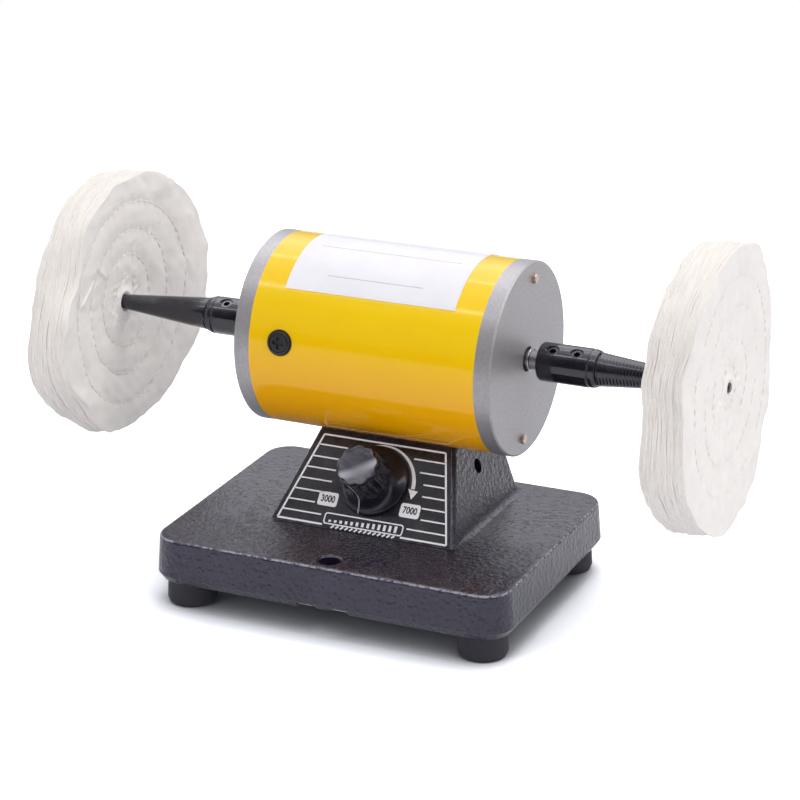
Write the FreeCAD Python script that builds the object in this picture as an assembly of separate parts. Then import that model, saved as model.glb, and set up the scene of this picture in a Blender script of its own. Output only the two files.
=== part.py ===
import FreeCAD, Part
import math
import os

from FreeCAD import Placement, Rotation, Vector

# Two-spindle bench polishing lathe. Millimetres, +Z up, spindle along X.
# Origin: on the bench, under the middle of the whole machine.

# ---------------------------------------------------------------- driving sizes
# Motor
motor_r = 40.0              # outside of the tube and of the end plates
motor_length = 113.2        # over both end plates
tube_wall = 3.0
plate_t = 7.0               # rim of an end plate
clock_deg = 10.0            # the motor is turned this far about its own axis
spigot_l = 4.0              # how far an end plate reaches into the tube
plate_round = 0.6
plate_recess = 3.0          # depth of the ring-shaped recess in the spigot's face
recess_in = 8.5             # recess in from the inside of the tube
bearing_boss_wall = 5.0
bearing_boss_l = 1.6        # boss past the spigot
bolt_in = 4.0               # bolt circle in from the inside of the tube
bolt_r = 2.0
bolt_end_round = 0.5
bolt_slot_w = 1.1
bolt_proud = 1.5            # bolt end standing out of the right plate
bolt_head_r = 3.5
bolt_head_t = 2.6

# Shaft and its two ball bearings
shaft_r = 4.0               # journals and spindle seats
shoulder_r = 5.0            # between the bearings
shaft_chamfer = 0.5
plate_hole_gap = 1.25       # plate hole over the shaft
bearing_r = 11.0
bearing_w = 7.0
bearing_web = 3.0           # plate left outside the bearing
race_wall = 2.0             # radial thickness of each ring
ball_bite = 0.485           # how far the balls sink into each ring
ball_count = 7
ball_play = 0.05            # groove radius over ball radius
cage_w = 4.6
cage_t = 1.0
washer_t = 0.8              # spring washer behind the left bearing
washer_rim = 1.8            # flat rim of the spring washer
washer_play = 0.3

# Magnets, armature and brushes
magnet_t = 5.7
magnet_play = 0.1
magnet_length = 60.0
magnet_half_deg = 62.0
air_gap = 1.2
core_length = 48.0
slot_count = 12
slot_w = 5.0
slot_mouth_w = 2.4
slot_depth = 11.0
slot_lip = 1.5
slot_play = 0.25
winding_in = 3.0            # end turns inside the core's outline
winding_swell = 0.8
winding_end_l = 6.5
winding_end_gap = 1.2       # end turns to the bearing boss
winding_core_gap = 0.3
winding_bore = 2.5          # inside of the end turns over the shaft
commutator_r = 12.0
commutator_length = 15.0
segment_count = 24
segment_gap = 0.5
segment_gap_depth = 0.8
segment_bevel = 0.4
riser_h = 1.6
riser_t = 1.6
brush_x = -35.6
brush_w = 5.0               # around the commutator
brush_l = 6.0               # along the shaft
brush_radial_l = 15.0
brush_face_play = 0.08
brush_play = 0.1
holder_r = 5.4
holder_gap = 2.5            # holder to commutator
holder_proud = 0.4
cap_thread_r = 4.2
cap_plug_l = 4.6
cap_head_r = 4.85
cap_head_t = 1.0
cap_slot_l = 7.2
cap_slot_w = 1.2
cap_slot_d = 0.7
spring_coil_r = 1.9
spring_wire_r = 0.3
spring_turns = 6
spring_gap = 0.05

# Spindles, screwed to the shaft ends
sleeve_r = 8.0
sleeve_start = 62.45        # from the middle of the machine
sleeve_end = 87.9
sleeve_chamfer = 1.5
nose_root_r = 6.6
nose_neck = 4.0             # plain length before the taper
nose_tip_r = 2.0
nose_neck_in = 0.3
nose_tip_l = 0.8
nose_tip_gap = 0.6          # tip back from the outer face of the buff
sleeve_floor = 3.9          # solid metal between the shaft's end and the nose
shaft_end_gap = 0.3
thread_pitch = 2.0
thread_depth = 0.45
set_screw_r = 2.5
set_screw_sunk = 0.87
set_screw_hex = 2.5
set_screw_socket = 1.8
set_screw_in = (6.35, 16.65)          # from the inner end of the sleeve
set_screw_deg = {1: 60.0, -1: 66.0}   # above the front horizontal, right and left

# Buffs
buff_r = 57.5
buff_t = 16.5
buff_outer = 143.0          # outer face from the middle of the machine
buff_edge = 4.0
buff_hole_play = 0.3

# Plinth
base_w = 154.9              # top outline
base_d = 114.8
base_top = 30.2
base_bottom = 11.0
belt_z = 14.0               # height of the widest line
belt_out = 1.2              # draft of the walls
under_in = 2.0              # chamfer under the belt
plan_r = 11.0
base_wall = 5.0
base_top_round = 1.6
axis_to_rear = 37.2         # spindle axis forward of the top rear edge
lip_notch_half = 11.5       # gap in the bottom lip at the middle of the front
lip_notch_h = 2.2

# Pedestal
ped_half_w = 41.5           # at the top of the plinth
ped_front = 40.95           # foot of the sloping panel, forward of the axis
ped_rear = 28.5             # rear face, behind the axis
side_lean = 0.339           # per millimetre of height
rear_lean = 0.02
panel_deg = 50.9
ped_wall = 4.5
panel_wall = 4.0
ped_edge_round = 2.5
saddle_rise = 30.25         # underside of the tube over the plinth
saddle_play = 0.05
saddle_floor = 6.4          # metal between the tube and the hollow under it
side_hole_r = 3.0
side_hole_down = 9.95       # below the tube
lead_hole_r = 3.5
lead_hole_x = -24.5
lead_hole_y = 8.0           # behind the axis

# Bench bolt hole, foot bosses, cover
bolt_hole_r = 4.5
bolt_hole_in = 8.1          # from the top front edge
bolt_hole_boss_r = 8.5
bolt_hole_chamfer = 0.8
cover_t = 1.2
cover_lip = 2.2
cover_play = 0.25
vent_count = 6
vent_l = 34.0
vent_w = 3.0
vent_step = 9.0
bolt_hole_cover_play = 0.5
foot_in = (12.45, 11.6)     # from the sides and from the ends of the top outline
foot_r = 10.3
foot_taper = 0.4
foot_round = 2.2
foot_bore_r = 5.2
foot_bore_l = 5.0
foot_boss_r = 8.0
screw_play = 0.1            # tapped or drilled hole over its screw
foot_screw_r = 2.0
foot_screw_head_r = 4.0
foot_screw_head_t = 2.5
foot_screw_grip = 11.5      # thread above the foot
tap_room = 1.0              # tapped holes past their screws
cover_screw_r = 1.5
cover_screw_in = 11.45      # from the sides of the top outline
cover_screw_l = 8.0
cover_screw_head_r = 2.85
cover_screw_head_t = 1.5
cover_boss_r = 4.5

# Pan heads, as shares of the head's radius and height
head_round = 0.35
cross_reach = 0.55
cross_half_w = 0.12
cross_depth = 0.5

# Motor hold-down screws
motor_screw_r = 2.5
motor_screw_x = 18.0
motor_screw_head_r = 4.25
motor_screw_head_t = 5.0
motor_screw_hex = 4.0
motor_screw_socket = 2.5
motor_screw_end_gap = 0.3   # end below the inside of the tube

# Cord gland
gland_bore_r = 3.1
gland_sleeve_r = 4.5
gland_flange_r = 7.5
gland_flange_t = 3.0
gland_cap_r = 6.2
gland_cap_l = 7.0
gland_cap_taper = 1.2
gland_inside_l = 5.0
gland_nut_af = 11.0
gland_nut_t = 3.0
gland_side_gap = 1.65       # nut to the circuit board, seen from above
spot_r = 8.2
spot_back = 0.4             # spot face behind the top outline

# Speed label and control
label_t = 0.4
label_inset = 1.2           # from the sides of the panel
label_foot = 0.6
label_head = 1.75           # label to the tube
label_hole_gap = 0.3
knob_head = 19.65           # knob's centre below the head of the panel
knob_gap = 0.6
knob_play = 0.3             # inside the knob, beyond the ends of the bushing and the shaft
skirt_r = 16.0
skirt_h = 3.8
cone_h = 2.6
cone_top_r = 9.6
grip_r = 8.9
knob_h = 20.6               # front face over the label
grip_round = 1.0
skirt_bevel = 0.5
flute_count = 9
flute_r = 2.2
flute_depth = 0.7
knob_wall = 2.0
pot_r = 8.4
pot_depth = 9.0
bushing_r = 3.5
bushing_proud = 5.0
pot_floor = 2.0
pot_shaft_r = 3.0
pot_neck_r = 2.2
pot_shaft_out = 16.0
pot_tab_l = 3.2
pot_tab_back = 3.0
pot_tab_w = 1.6
pot_tab_t = 0.8
pot_nut_af = 10.0
pot_nut_t = 2.0
pot_washer_r = 6.0
pot_washer_t = 0.6

# Circuit board
board_w = 64.0
board_d = 46.0
board_t = 1.6
board_forward = 4.65        # middle of the board forward of the axis
standoff_h = 6.0
standoff_r = 2.75
board_hole_inset = 4.0
board_screw_r = 1.5
board_screw_head_r = 2.7
board_screw_head_t = 1.8
capacitor_r = 6.25
capacitor_h = 20.0
capacitor_groove_r = 0.5
capacitor_groove_up = 2.2
capacitor_round = 0.8
sink_w = 26.0
sink_d = 10.0
sink_headroom = 9.25        # heat sink to the ceiling of the pedestal
sink_back_t = 3.0
fin_count = 5
fin_t = 1.4
transistor_size = (10.0, 4.4, 9.0)
transistor_tab_h = 15.0
transistor_tab_t = 1.2
leg_size = (0.9, 0.6, 4.0)
leg_step = 2.54
rectifier_size = (14.0, 4.6, 11.0)
terminal_size = (24.0, 8.0, 10.0)
well_r = 1.9
fuse_r = 2.6
fuse_l = 20.0
fuse_up = 1.4               # glass above the board
fuse_clip_w = 4.0
fuse_clip_wall = 0.8
lead_r = 0.8
lead_spacing = 3.0
lead_wall_gap = 0.15        # lead clear of the tube wall
lead_straight = 8.0         # before the lead hole and above the terminals
lead_in_well = 2.8
well_depth = 3.0
pot_lead_r = 0.6
pot_lead_step = 4.0
pot_lead_inset = 1.5        # landing of the leads, in from the front edge of the board
pot_lead_start = 1.5
part_gap = 1.0              # between parts on the board and its screw heads
rear_row = 9.0              # row of parts, in from the rear edge of the board
front_row = 7.0

# Rating sticker on the tube
sticker_half_l = 37.4
sticker_from_deg = 42.5     # above the front horizontal
sticker_to_deg = 125.0
sticker_t = 0.15
sticker_gap = 0.08

fit = 0.03                  # slip fit of turned parts, on the radius

# ---------------------------------------------------------------- worked out
axis_z = base_top + saddle_rise + motor_r
axis_to_front = base_d - axis_to_rear
axis_y = (axis_to_front + belt_out - buff_r) / 2
base_mid_y = axis_y - axis_to_front + base_d / 2
foot_x, foot_y = base_w / 2 - foot_in[0], base_d / 2 - foot_in[1]
cover_screw_x = base_w / 2 - cover_screw_in
board_mid_y = axis_y - board_forward
plate_x = motor_length / 2
tube_half = plate_x - plate_t
tube_in_r = motor_r - tube_wall
plate_hole_r = shaft_r + plate_hole_gap
bearing_boss_r = bearing_r + bearing_boss_wall
bolt_circle_r = tube_in_r - bolt_in
magnet_r_out = tube_in_r - magnet_play
magnet_r_in = magnet_r_out - magnet_t
core_r = magnet_r_in - air_gap
winding_r = core_r - winding_in
boss_x = tube_half - spigot_l - bearing_boss_l
pocket_x = plate_x - bearing_web
right_bearing_x = pocket_x - bearing_w
left_bearing_x = -(pocket_x - washer_t)
ball_pitch_r = (shaft_r + bearing_r) / 2
ball_r = (bearing_r - shaft_r) / 2 - race_wall + ball_bite
cover_top = base_bottom + cover_t
cavity_top = base_top - base_wall
ped_ceiling = axis_z - motor_r - saddle_floor
side_hole_z = axis_z - motor_r - side_hole_down
gland_x = -(board_w / 2 + gland_side_gap + gland_nut_af / math.sqrt(3))
gland_z = (cover_top + cavity_top) / 2
board_z = cover_top + standoff_h
board_top = board_z + board_t
board_edge = board_w / 2 - board_hole_inset - board_screw_head_r - part_gap
rear_row_y = board_mid_y + board_d / 2 - rear_row
front_row_y = board_mid_y - board_d / 2 + front_row
capacitor_at = (capacitor_r - board_edge, rear_row_y)
sink_size = (sink_w, sink_d, ped_ceiling - sink_headroom - board_top)
sink_at = (board_edge - sink_w / 2, rear_row_y)
rectifier_at = (rectifier_size[0] / 2 - board_edge, board_mid_y)
terminal_at = (terminal_size[0] / 2 - board_edge, front_row_y)
fuse_at = (board_edge - fuse_l / 2, front_row_y)
pot_lead_y = board_mid_y - board_d / 2 + pot_lead_inset
panel_rad = math.radians(panel_deg)
axis_up_panel = ped_front * math.cos(panel_rad) + (axis_z - base_top) * math.sin(panel_rad)
axis_off_panel = (axis_z - base_top) * math.cos(panel_rad) - ped_front * math.sin(panel_rad)
panel_length = axis_up_panel - math.sqrt(motor_r ** 2 - axis_off_panel ** 2)
label_length = panel_length - label_foot - label_head
knob_s = panel_length - knob_head
core_end = boss_x - winding_end_gap - winding_end_l - winding_core_gap
core_x = core_end - core_length
core_mid_x = core_end - core_length / 2
commutator_x = brush_x - commutator_length / 2
riser_end = commutator_x + commutator_length + riser_t
brush_top_r = commutator_r + brush_radial_l
holder_in_r = commutator_r + holder_gap
buff_inner = buff_outer - buff_t
shaft_half = sleeve_end - sleeve_floor
set_screw_xs = [sleeve_start + place for place in set_screw_in]
nose_start = sleeve_end + nose_neck
nose_end = buff_outer - nose_tip_gap
nose_taper = (nose_root_r - nose_tip_r) / (nose_end - nose_start)
rear_y = base_mid_y + base_d / 2 - spot_back
bolt_hole_y = axis_y - axis_to_front + bolt_hole_in

X, Y, Z = Vector(1, 0, 0), Vector(0, 1, 0), Vector(0, 0, 1)
axis_point = Vector(0, axis_y, axis_z)
panel_place = Placement(Vector(0, axis_y - ped_front, base_top), Rotation(X, panel_deg))


# ---------------------------------------------------------------- helpers
def save(name, shape):
    """Write one sub-part."""
    shape.exportStep("parts/" + name + ".step")


def box(size, centre, bottom):
    """Box centred on (x, y) with its underside at `bottom`."""
    corner = Vector(centre[0] - size[0] / 2, centre[1] - size[1] / 2, bottom)
    return Part.makeBox(size[0], size[1], size[2], corner)


def rod(radius, start, end):
    """Round bar between two points."""
    way = end - start
    return Part.makeCylinder(radius, way.Length, start, way)


def bar_on_axis(radius, low_x, high_x):
    """Round bar on the motor axis."""
    return rod(radius, axis_point + X * low_x, axis_point + X * high_x)


def turned(points, along=X):
    """Solid of revolution about the motor axis (along X), or about Z at the origin.

    `points` are (along, radius) pairs.
    """
    if along == X:
        corners = [Vector(a, r, 0) for a, r in points]
    else:
        corners = [Vector(r, 0, a) for a, r in points]
    face = Part.Face(Part.makePolygon(corners + corners[:1]))
    solid = face.revolve(Vector(0, 0, 0), along, 360)
    if along == X:
        solid.translate(axis_point)
    return solid


def on_axis(shape):
    """Move a shape made about the X axis onto the motor axis."""
    moved = shape.copy()
    moved.translate(axis_point)
    return moved


def ray_from_axis(deg):
    """Unit vector from the motor axis, `deg` above the front horizontal."""
    return Vector(0, -math.cos(math.radians(deg)), math.sin(math.radians(deg)))


def at_angle(x, radius, deg):
    """Point at a radius from the motor axis, `deg` above the front horizontal."""
    return Vector(x, 0, 0) + axis_point + ray_from_axis(deg) * radius


def sector(x, length, middle_deg, half_deg):
    """Wedge from the motor axis outwards, between two angles either side of a middle one."""
    corners = [axis_point + X * x]
    for part in (-1, -0.5, 0, 0.5, 1):
        corners.append(at_angle(x, 2 * motor_r, middle_deg + part * half_deg))
    return Part.Face(Part.makePolygon(corners + corners[:1])).extrude(X * length)


def hexagon(across_flats, height, place):
    """Hexagonal prism standing on the local XY plane of `place`."""
    radius = across_flats / math.sqrt(3)
    corners = [Vector(radius * math.cos(math.radians(60 * i)), radius * math.sin(math.radians(60 * i)), 0)
               for i in range(7)]
    prism = Part.Face(Part.makePolygon(corners)).extrude(Vector(0, 0, height))
    prism.Placement = place
    return prism


def facing(point, direction):
    """Placement whose local Z is `direction`."""
    return Placement(point, Rotation(Z, direction))


def rounded_rectangle(half_x, half_y, radius, z):
    """Closed wire round the middle of the plinth."""
    edges = []
    for turn in range(4):
        sx, sy = ((1, 1), (-1, 1), (-1, -1), (1, -1))[turn]
        centre = Vector(sx * (half_x - radius), base_mid_y + sy * (half_y - radius), z)
        angles = [math.radians(90 * turn + 45 * k) for k in range(3)]
        points = [centre + Vector(math.cos(angle), math.sin(angle), 0) * radius for angle in angles]
        if edges:
            edges.append(Part.LineSegment(last, points[0]).toShape())
        else:
            start = points[0]
        edges.append(Part.Arc(*points).toShape())
        last = points[2]
    edges.append(Part.LineSegment(last, start).toShape())
    return Part.Wire(edges)


def plinth_loft(levels):
    """Solid through (inset, z) outlines, the inset measured from the top outline."""
    wires = [rounded_rectangle(base_w / 2 - inset, base_d / 2 - inset, max(plan_r - inset, 1.0), z)
             for inset, z in levels]
    return Part.makeLoft(wires, True, True)


def frustum(low, high, wall, front_wall):
    """The pedestal's tapered block between two heights, shrunk by its walls."""
    side = wall * math.hypot(1, side_lean)
    front = front_wall / math.sin(panel_rad)
    wires = []
    for z in (low, high):
        up = z - base_top
        half = ped_half_w - side_lean * up - side
        y_front = axis_y - ped_front + up / math.tan(panel_rad) + front
        y_rear = axis_y + ped_rear - rear_lean * up - wall
        corners = [Vector(-half, y_front, z), Vector(half, y_front, z),
                   Vector(half, y_rear, z), Vector(-half, y_rear, z)]
        wires.append(Part.makePolygon(corners + corners[:1]))
    return Part.makeLoft(wires, True, True)


def tube_path(points, radius):
    """Round wire through points, with ball-shaped corners."""
    pieces = [rod(radius, a, b) for a, b in zip(points, points[1:])]
    pieces += [Part.makeSphere(radius, p) for p in points[1:-1]]
    return pieces[0].multiFuse(pieces[1:]).removeSplitter()


def foot_places():
    """Foot centres with their names."""
    return [(name_y + "_" + name_x, Vector(sx * foot_x, base_mid_y + sy * foot_y, 0))
            for sy, name_y in ((-1, "front"), (1, "rear")) for sx, name_x in ((-1, "left"), (1, "right"))]


def cover_screw_places():
    """Cover screw centres, halfway along the two short sides."""
    return [Vector(sx * cover_screw_x, base_mid_y, 0) for sx in (-1, 1)]


def standoff_places():
    """Circuit board corners that are screwed down."""
    dx, dy = board_w / 2 - board_hole_inset, board_d / 2 - board_hole_inset
    return [Vector(sx * dx, board_mid_y + sy * dy, 0) for sx in (-1, 1) for sy in (-1, 1)]


# ---------------------------------------------------------------- base
def base_casting():
    """Plinth, pedestal and saddle in one hollow casting."""
    plinth = plinth_loft([(under_in - belt_out, base_bottom), (-belt_out, belt_z), (0, base_top)])
    rim = [e for e in plinth.Edges if min(v.Z for v in e.Vertexes) > base_top - 0.01]
    plinth = plinth.makeFillet(base_top_round, rim)
    pedestal = frustum(base_top - 1, axis_z - motor_r / 2, 0, 0)
    uprights = [e for e in pedestal.Edges if abs(e.Vertexes[0].Z - e.Vertexes[1].Z) > 1]
    pedestal = pedestal.makeFillet(ped_edge_round, uprights)
    saddle = Part.makeCylinder(motor_r + saddle_play, base_w, Vector(-base_w / 2, axis_y, axis_z), X)
    body = plinth.fuse(pedestal.cut(saddle))

    hollow = plinth_loft([(base_wall, base_bottom - 1), (base_wall, cavity_top)])
    rebate = plinth_loft([(under_in - belt_out + cover_lip, base_bottom - 1),
                          (under_in - belt_out + cover_lip, cover_top)])
    body = body.cut(hollow).cut(rebate).cut(frustum(cavity_top - 1, ped_ceiling, ped_wall, panel_wall))
    notch_y = base_mid_y - base_d / 2
    body = body.cut(box((2 * lip_notch_half, 2 * base_wall, lip_notch_h), (0, notch_y), base_bottom))

    bosses = [Part.makeCylinder(foot_boss_r, cavity_top - cover_top + 1, p + Z * cover_top)
              for _, p in foot_places()]
    bosses += [Part.makeCylinder(cover_boss_r, cavity_top - cover_top + 1, p + Z * cover_top)
               for p in cover_screw_places()]
    bosses.append(Part.makeCylinder(bolt_hole_boss_r, cavity_top - cover_top + 1,
                                    Vector(0, bolt_hole_y, cover_top)))
    body = body.multiFuse(bosses)
    return body.cut(Part.makeCompound(base_holes())).removeSplitter()


def base_holes():
    """Every drilled or tapped hole in the casting."""
    tapped = [(foot_screw_r, foot_screw_grip, p) for _, p in foot_places()]
    tapped += [(cover_screw_r, cover_screw_l, p) for p in cover_screw_places()]
    holes = [rod(r + screw_play, p + Z * base_bottom, p + Z * (base_bottom + length + tap_room))
             for r, length, p in tapped]
    centre = Vector(0, bolt_hole_y, 0)
    holes.append(rod(bolt_hole_r, centre + Z * base_bottom, centre + Z * (base_top + 1)))
    holes.append(Part.makeCone(bolt_hole_r, bolt_hole_r + bolt_hole_chamfer, bolt_hole_chamfer,
                               centre + Z * (base_top - bolt_hole_chamfer)))
    for sx in (-1, 1):
        seat = Vector(sx * motor_screw_x, axis_y, ped_ceiling - 1)
        holes.append(rod(motor_screw_r + screw_play, seat, seat + Z * motor_r / 2))
    lead_seat = Vector(lead_hole_x, axis_y + lead_hole_y, ped_ceiling - 1)
    holes.append(rod(lead_hole_r, lead_seat, lead_seat + Z * motor_r / 2))
    side = Vector(ped_half_w / 2, axis_y, side_hole_z)
    holes.append(rod(side_hole_r, side, side + X * ped_half_w))
    knob_hole = Part.makeCylinder(bushing_r + screw_play, 2 * panel_wall, Vector(0, knob_s, -2 * panel_wall))
    knob_hole.Placement = panel_place
    holes.append(knob_hole)
    gland = Vector(gland_x, rear_y, gland_z)
    holes.append(rod(gland_sleeve_r + screw_play, gland - Y * 2 * base_wall, gland + Y))
    holes.append(rod(spot_r, gland, gland + Y * base_wall))
    return holes


def bottom_cover():
    """Sheet cover let into the underside, with ventilation slots."""
    inset = under_in - belt_out + cover_lip + cover_play
    plate = plinth_loft([(inset, base_bottom), (inset, cover_top)])
    screws = [(foot_screw_r, p) for _, p in foot_places()]
    screws += [(cover_screw_r, p) for p in cover_screw_places()]
    screws += [(board_screw_r, p) for p in standoff_places()]
    holes = [(r + screw_play, p) for r, p in screws]
    holes.append((bolt_hole_r + bolt_hole_cover_play, Vector(0, bolt_hole_y, 0)))
    cuts = [rod(r, p + Z * base_bottom, p + Z * cover_top) for r, p in holes]
    for i in range(vent_count):
        x = (i - (vent_count - 1) / 2) * vent_step
        slot = box((vent_w, vent_l, cover_t), (x, board_mid_y), base_bottom)
        ends = [rod(vent_w / 2, Vector(x, board_mid_y + s * vent_l / 2, base_bottom),
                    Vector(x, board_mid_y + s * vent_l / 2, cover_top)) for s in (-1, 1)]
        cuts += [slot] + ends
    return plate.cut(Part.makeCompound(cuts))


def pan_screw(place, shank_r, shank_l, head_r, head_t):
    """Pan-head screw: local Z runs from the head's top face into the work."""
    head = Part.makeCylinder(head_r, head_t)
    top_edge = [e for e in head.Edges if e.BoundBox.ZMax < head_t / 2]
    head = head.makeFillet(head_t * head_round, top_edge)
    shape = head.fuse(Part.makeCylinder(shank_r, shank_l + head_t))
    for turn in (0, 90):
        bar = Part.makeBox(2 * cross_reach * head_r, 2 * cross_half_w * head_r, cross_depth * head_t,
                           Vector(-cross_reach * head_r, -cross_half_w * head_r, 0))
        shape = shape.cut(bar.rotated(Vector(0, 0, 0), Z, turn))
    shape.Placement = place
    return shape


def foot(place):
    """Rubber foot with a counterbored screw hole."""
    corner = foot_round * (1 - math.sqrt(0.5))
    points = [(0, foot_bore_r), (0, foot_r - foot_round), (corner, foot_r - corner),
              (foot_round, foot_r), (base_bottom, foot_r - foot_taper),
              (base_bottom, foot_screw_r + screw_play), (foot_bore_l, foot_screw_r + screw_play),
              (foot_bore_l, foot_bore_r)]
    solid = turned(points, Z)
    solid.translate(place)
    return solid


def foot_screws():
    """One screw up through each foot."""
    length = base_bottom - foot_bore_l + foot_screw_grip
    return Part.makeCompound([pan_screw(facing(p + Z * (foot_bore_l - foot_screw_head_t), Z), foot_screw_r,
                                        length, foot_screw_head_r, foot_screw_head_t)
                              for _, p in foot_places()])


def cover_screws():
    """Two screws that hold the bottom cover."""
    head_z = base_bottom - cover_screw_head_t
    return Part.makeCompound([pan_screw(facing(p + Z * head_z, Z), cover_screw_r, cover_screw_l,
                                        cover_screw_head_r, cover_screw_head_t)
                              for p in cover_screw_places()])


def motor_screws():
    """Cap screws up through the saddle into the motor tube."""
    depth = axis_z - tube_in_r - ped_ceiling - motor_screw_end_gap
    screws = []
    for sx in (-1, 1):
        foot_point = Vector(sx * motor_screw_x, axis_y, ped_ceiling - motor_screw_head_t)
        screw = rod(motor_screw_head_r, foot_point, foot_point + Z * motor_screw_head_t)
        screw = screw.fuse(rod(motor_screw_r, foot_point, foot_point + Z * (motor_screw_head_t + depth)))
        screws.append(screw.cut(hexagon(motor_screw_hex, motor_screw_socket, facing(foot_point, Z))))
    return Part.makeCompound(screws)


def cable_gland():
    """Flanged bush in the rear wall; the cord passes through it."""
    face = Vector(gland_x, rear_y, gland_z)
    flange_face = face + Y * gland_flange_t
    inner_end = face - Y * (base_wall + gland_inside_l)
    body = rod(gland_flange_r, face, flange_face).fuse(rod(gland_sleeve_r, inner_end, face))
    body = body.fuse(Part.makeCone(gland_cap_r, gland_cap_r - gland_cap_taper, gland_cap_l, flange_face, Y))
    return body.cut(rod(gland_bore_r, inner_end, flange_face + Y * gland_cap_l)).removeSplitter()


def gland_nut():
    """Nut that holds the bush from inside the plinth."""
    inside = Vector(gland_x, base_mid_y + base_d / 2 - base_wall, gland_z)
    nut = hexagon(gland_nut_af, gland_nut_t, facing(inside, Y * -1))
    return nut.cut(rod(gland_sleeve_r + fit, inside, inside - Y * gland_nut_t))


# ---------------------------------------------------------------- speed control
def speed_label():
    """Printed plate on the sloping panel."""
    def half_width(s):
        return ped_half_w - side_lean * s * math.sin(panel_rad) - label_inset
    top = label_foot + label_length
    ends = ((-1, label_foot), (1, label_foot), (1, top), (-1, top))
    corners = [Vector(side * half_width(s), s, 0) for side, s in ends]
    plate = Part.Face(Part.makePolygon(corners + corners[:1])).extrude(Vector(0, 0, label_t))
    plate = plate.cut(Part.makeCylinder(bushing_r + label_hole_gap, label_t, Vector(0, knob_s, 0)))
    plate.Placement = panel_place
    return plate


def on_panel(shape):
    """Place a shape made in panel coordinates (x, up the panel, outwards) about the knob's axis."""
    shape.Placement = panel_place.multiply(Placement(Vector(0, knob_s, 0), Rotation()))
    return shape


def pot_body():
    """Potentiometer can behind the panel, with its threaded bushing and three tabs."""
    can = Part.makeCylinder(pot_r, pot_depth, Vector(0, 0, -panel_wall - pot_depth))
    bushing_l = panel_wall + label_t + bushing_proud
    body = can.fuse(Part.makeCylinder(bushing_r, bushing_l, Vector(0, 0, -panel_wall)))
    for i in (-1, 0, 1):
        tab = Part.makeBox(pot_tab_w, pot_tab_l + 1, pot_tab_t,
                           Vector(i * pot_lead_step - pot_tab_w / 2, -pot_r - pot_tab_l,
                                  -panel_wall - pot_tab_back - pot_tab_t / 2))
        body = body.fuse(tab)
    bore = Part.makeCylinder(pot_neck_r + fit, pot_depth + bushing_l,
                             Vector(0, 0, -panel_wall - pot_depth + pot_floor))
    return on_panel(body.cut(bore))


def pot_washer():
    """Washer between the panel and the nut."""
    ring = Part.makeCylinder(pot_washer_r, pot_washer_t, Vector(0, 0, label_t))
    return on_panel(ring.cut(Part.makeCylinder(bushing_r + fit, label_t + bushing_proud)))


def pot_nut():
    """Nut on the potentiometer's bushing."""
    nut = hexagon(pot_nut_af, pot_nut_t, Placement(Vector(0, 0, label_t + pot_washer_t), Rotation()))
    return on_panel(nut.cut(Part.makeCylinder(bushing_r + fit, label_t + bushing_proud)))


def pot_shaft():
    """Control shaft: a thin neck inside the bushing and a full-size end inside the knob."""
    start = -panel_wall - pot_depth + pot_floor + fit
    out = label_t + bushing_proud + knob_play
    neck = Part.makeCylinder(pot_neck_r, out - start, Vector(0, 0, start))
    end = Part.makeCylinder(pot_shaft_r, label_t + pot_shaft_out - out, Vector(0, 0, out))
    return on_panel(neck.fuse(end))


def control_knob():
    """Fluted knob on a coned skirt, hollow underneath."""
    low = label_t + knob_gap
    rim = low + skirt_h
    waist = rim + cone_h
    outside = turned([(low, 0), (low, skirt_r), (rim - skirt_bevel, skirt_r), (rim, skirt_r - skirt_bevel),
                      (waist, cone_top_r), (waist, 0)], Z)
    grip = Part.makeCylinder(grip_r, label_t + knob_h - waist, Vector(0, 0, waist))
    top_edge = [e for e in grip.Edges if e.BoundBox.ZMin > label_t + knob_h - 0.01]
    grip = grip.makeFillet(grip_round, top_edge)
    for i in range(flute_count):
        turn = math.radians(360 * (i + 0.5) / flute_count - 90)
        reach = grip_r - flute_depth + flute_r
        centre = Vector(reach * math.cos(turn), reach * math.sin(turn), waist)
        grip = grip.cut(Part.makeCylinder(flute_r, knob_h, centre))
    roof = label_t + bushing_proud + knob_play
    under = turned([(low, 0), (low, skirt_r - knob_wall), (rim - knob_wall, skirt_r - knob_wall),
                    (rim, pot_washer_r + knob_play), (roof, pot_washer_r - knob_play), (roof, 0)], Z)
    socket = Part.makeCylinder(pot_shaft_r + fit, pot_shaft_out + label_t + knob_play)
    return on_panel(outside.fuse(grip).cut(under).cut(socket))


# ---------------------------------------------------------------- circuit board
def circuit_board():
    """Speed control board with its four screw holes."""
    board = box((board_w, board_d, board_t), (0, board_mid_y), board_z)
    holes = [rod(board_screw_r + screw_play, p + Z * board_z, p + Z * board_top) for p in standoff_places()]
    return board.cut(Part.makeCompound(holes))


def standoffs():
    """Spacers between the cover and the board."""
    posts = []
    for p in standoff_places():
        post = rod(standoff_r, p + Z * cover_top, p + Z * board_z)
        posts.append(post.cut(rod(board_screw_r + fit, p + Z * cover_top, p + Z * board_z)))
    return Part.makeCompound(posts)


def board_screws():
    """Four screws through the board into its spacers."""
    length = board_t + standoff_h - tap_room
    head_z = board_top + board_screw_head_t
    return Part.makeCompound([pan_screw(facing(p + Z * head_z, Z * -1), board_screw_r, length,
                                        board_screw_head_r, board_screw_head_t)
                              for p in standoff_places()])


def capacitor():
    """Smoothing capacitor."""
    foot_point = Vector(capacitor_at[0], capacitor_at[1], board_top)
    can = rod(capacitor_r, foot_point, foot_point + Z * capacitor_h)
    groove = Part.makeTorus(capacitor_r, capacitor_groove_r, foot_point + Z * capacitor_groove_up, Z)
    top = [e for e in can.Edges if e.BoundBox.ZMin > board_top + capacitor_h - 0.01]
    return can.makeFillet(capacitor_round, top).cut(groove)


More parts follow.
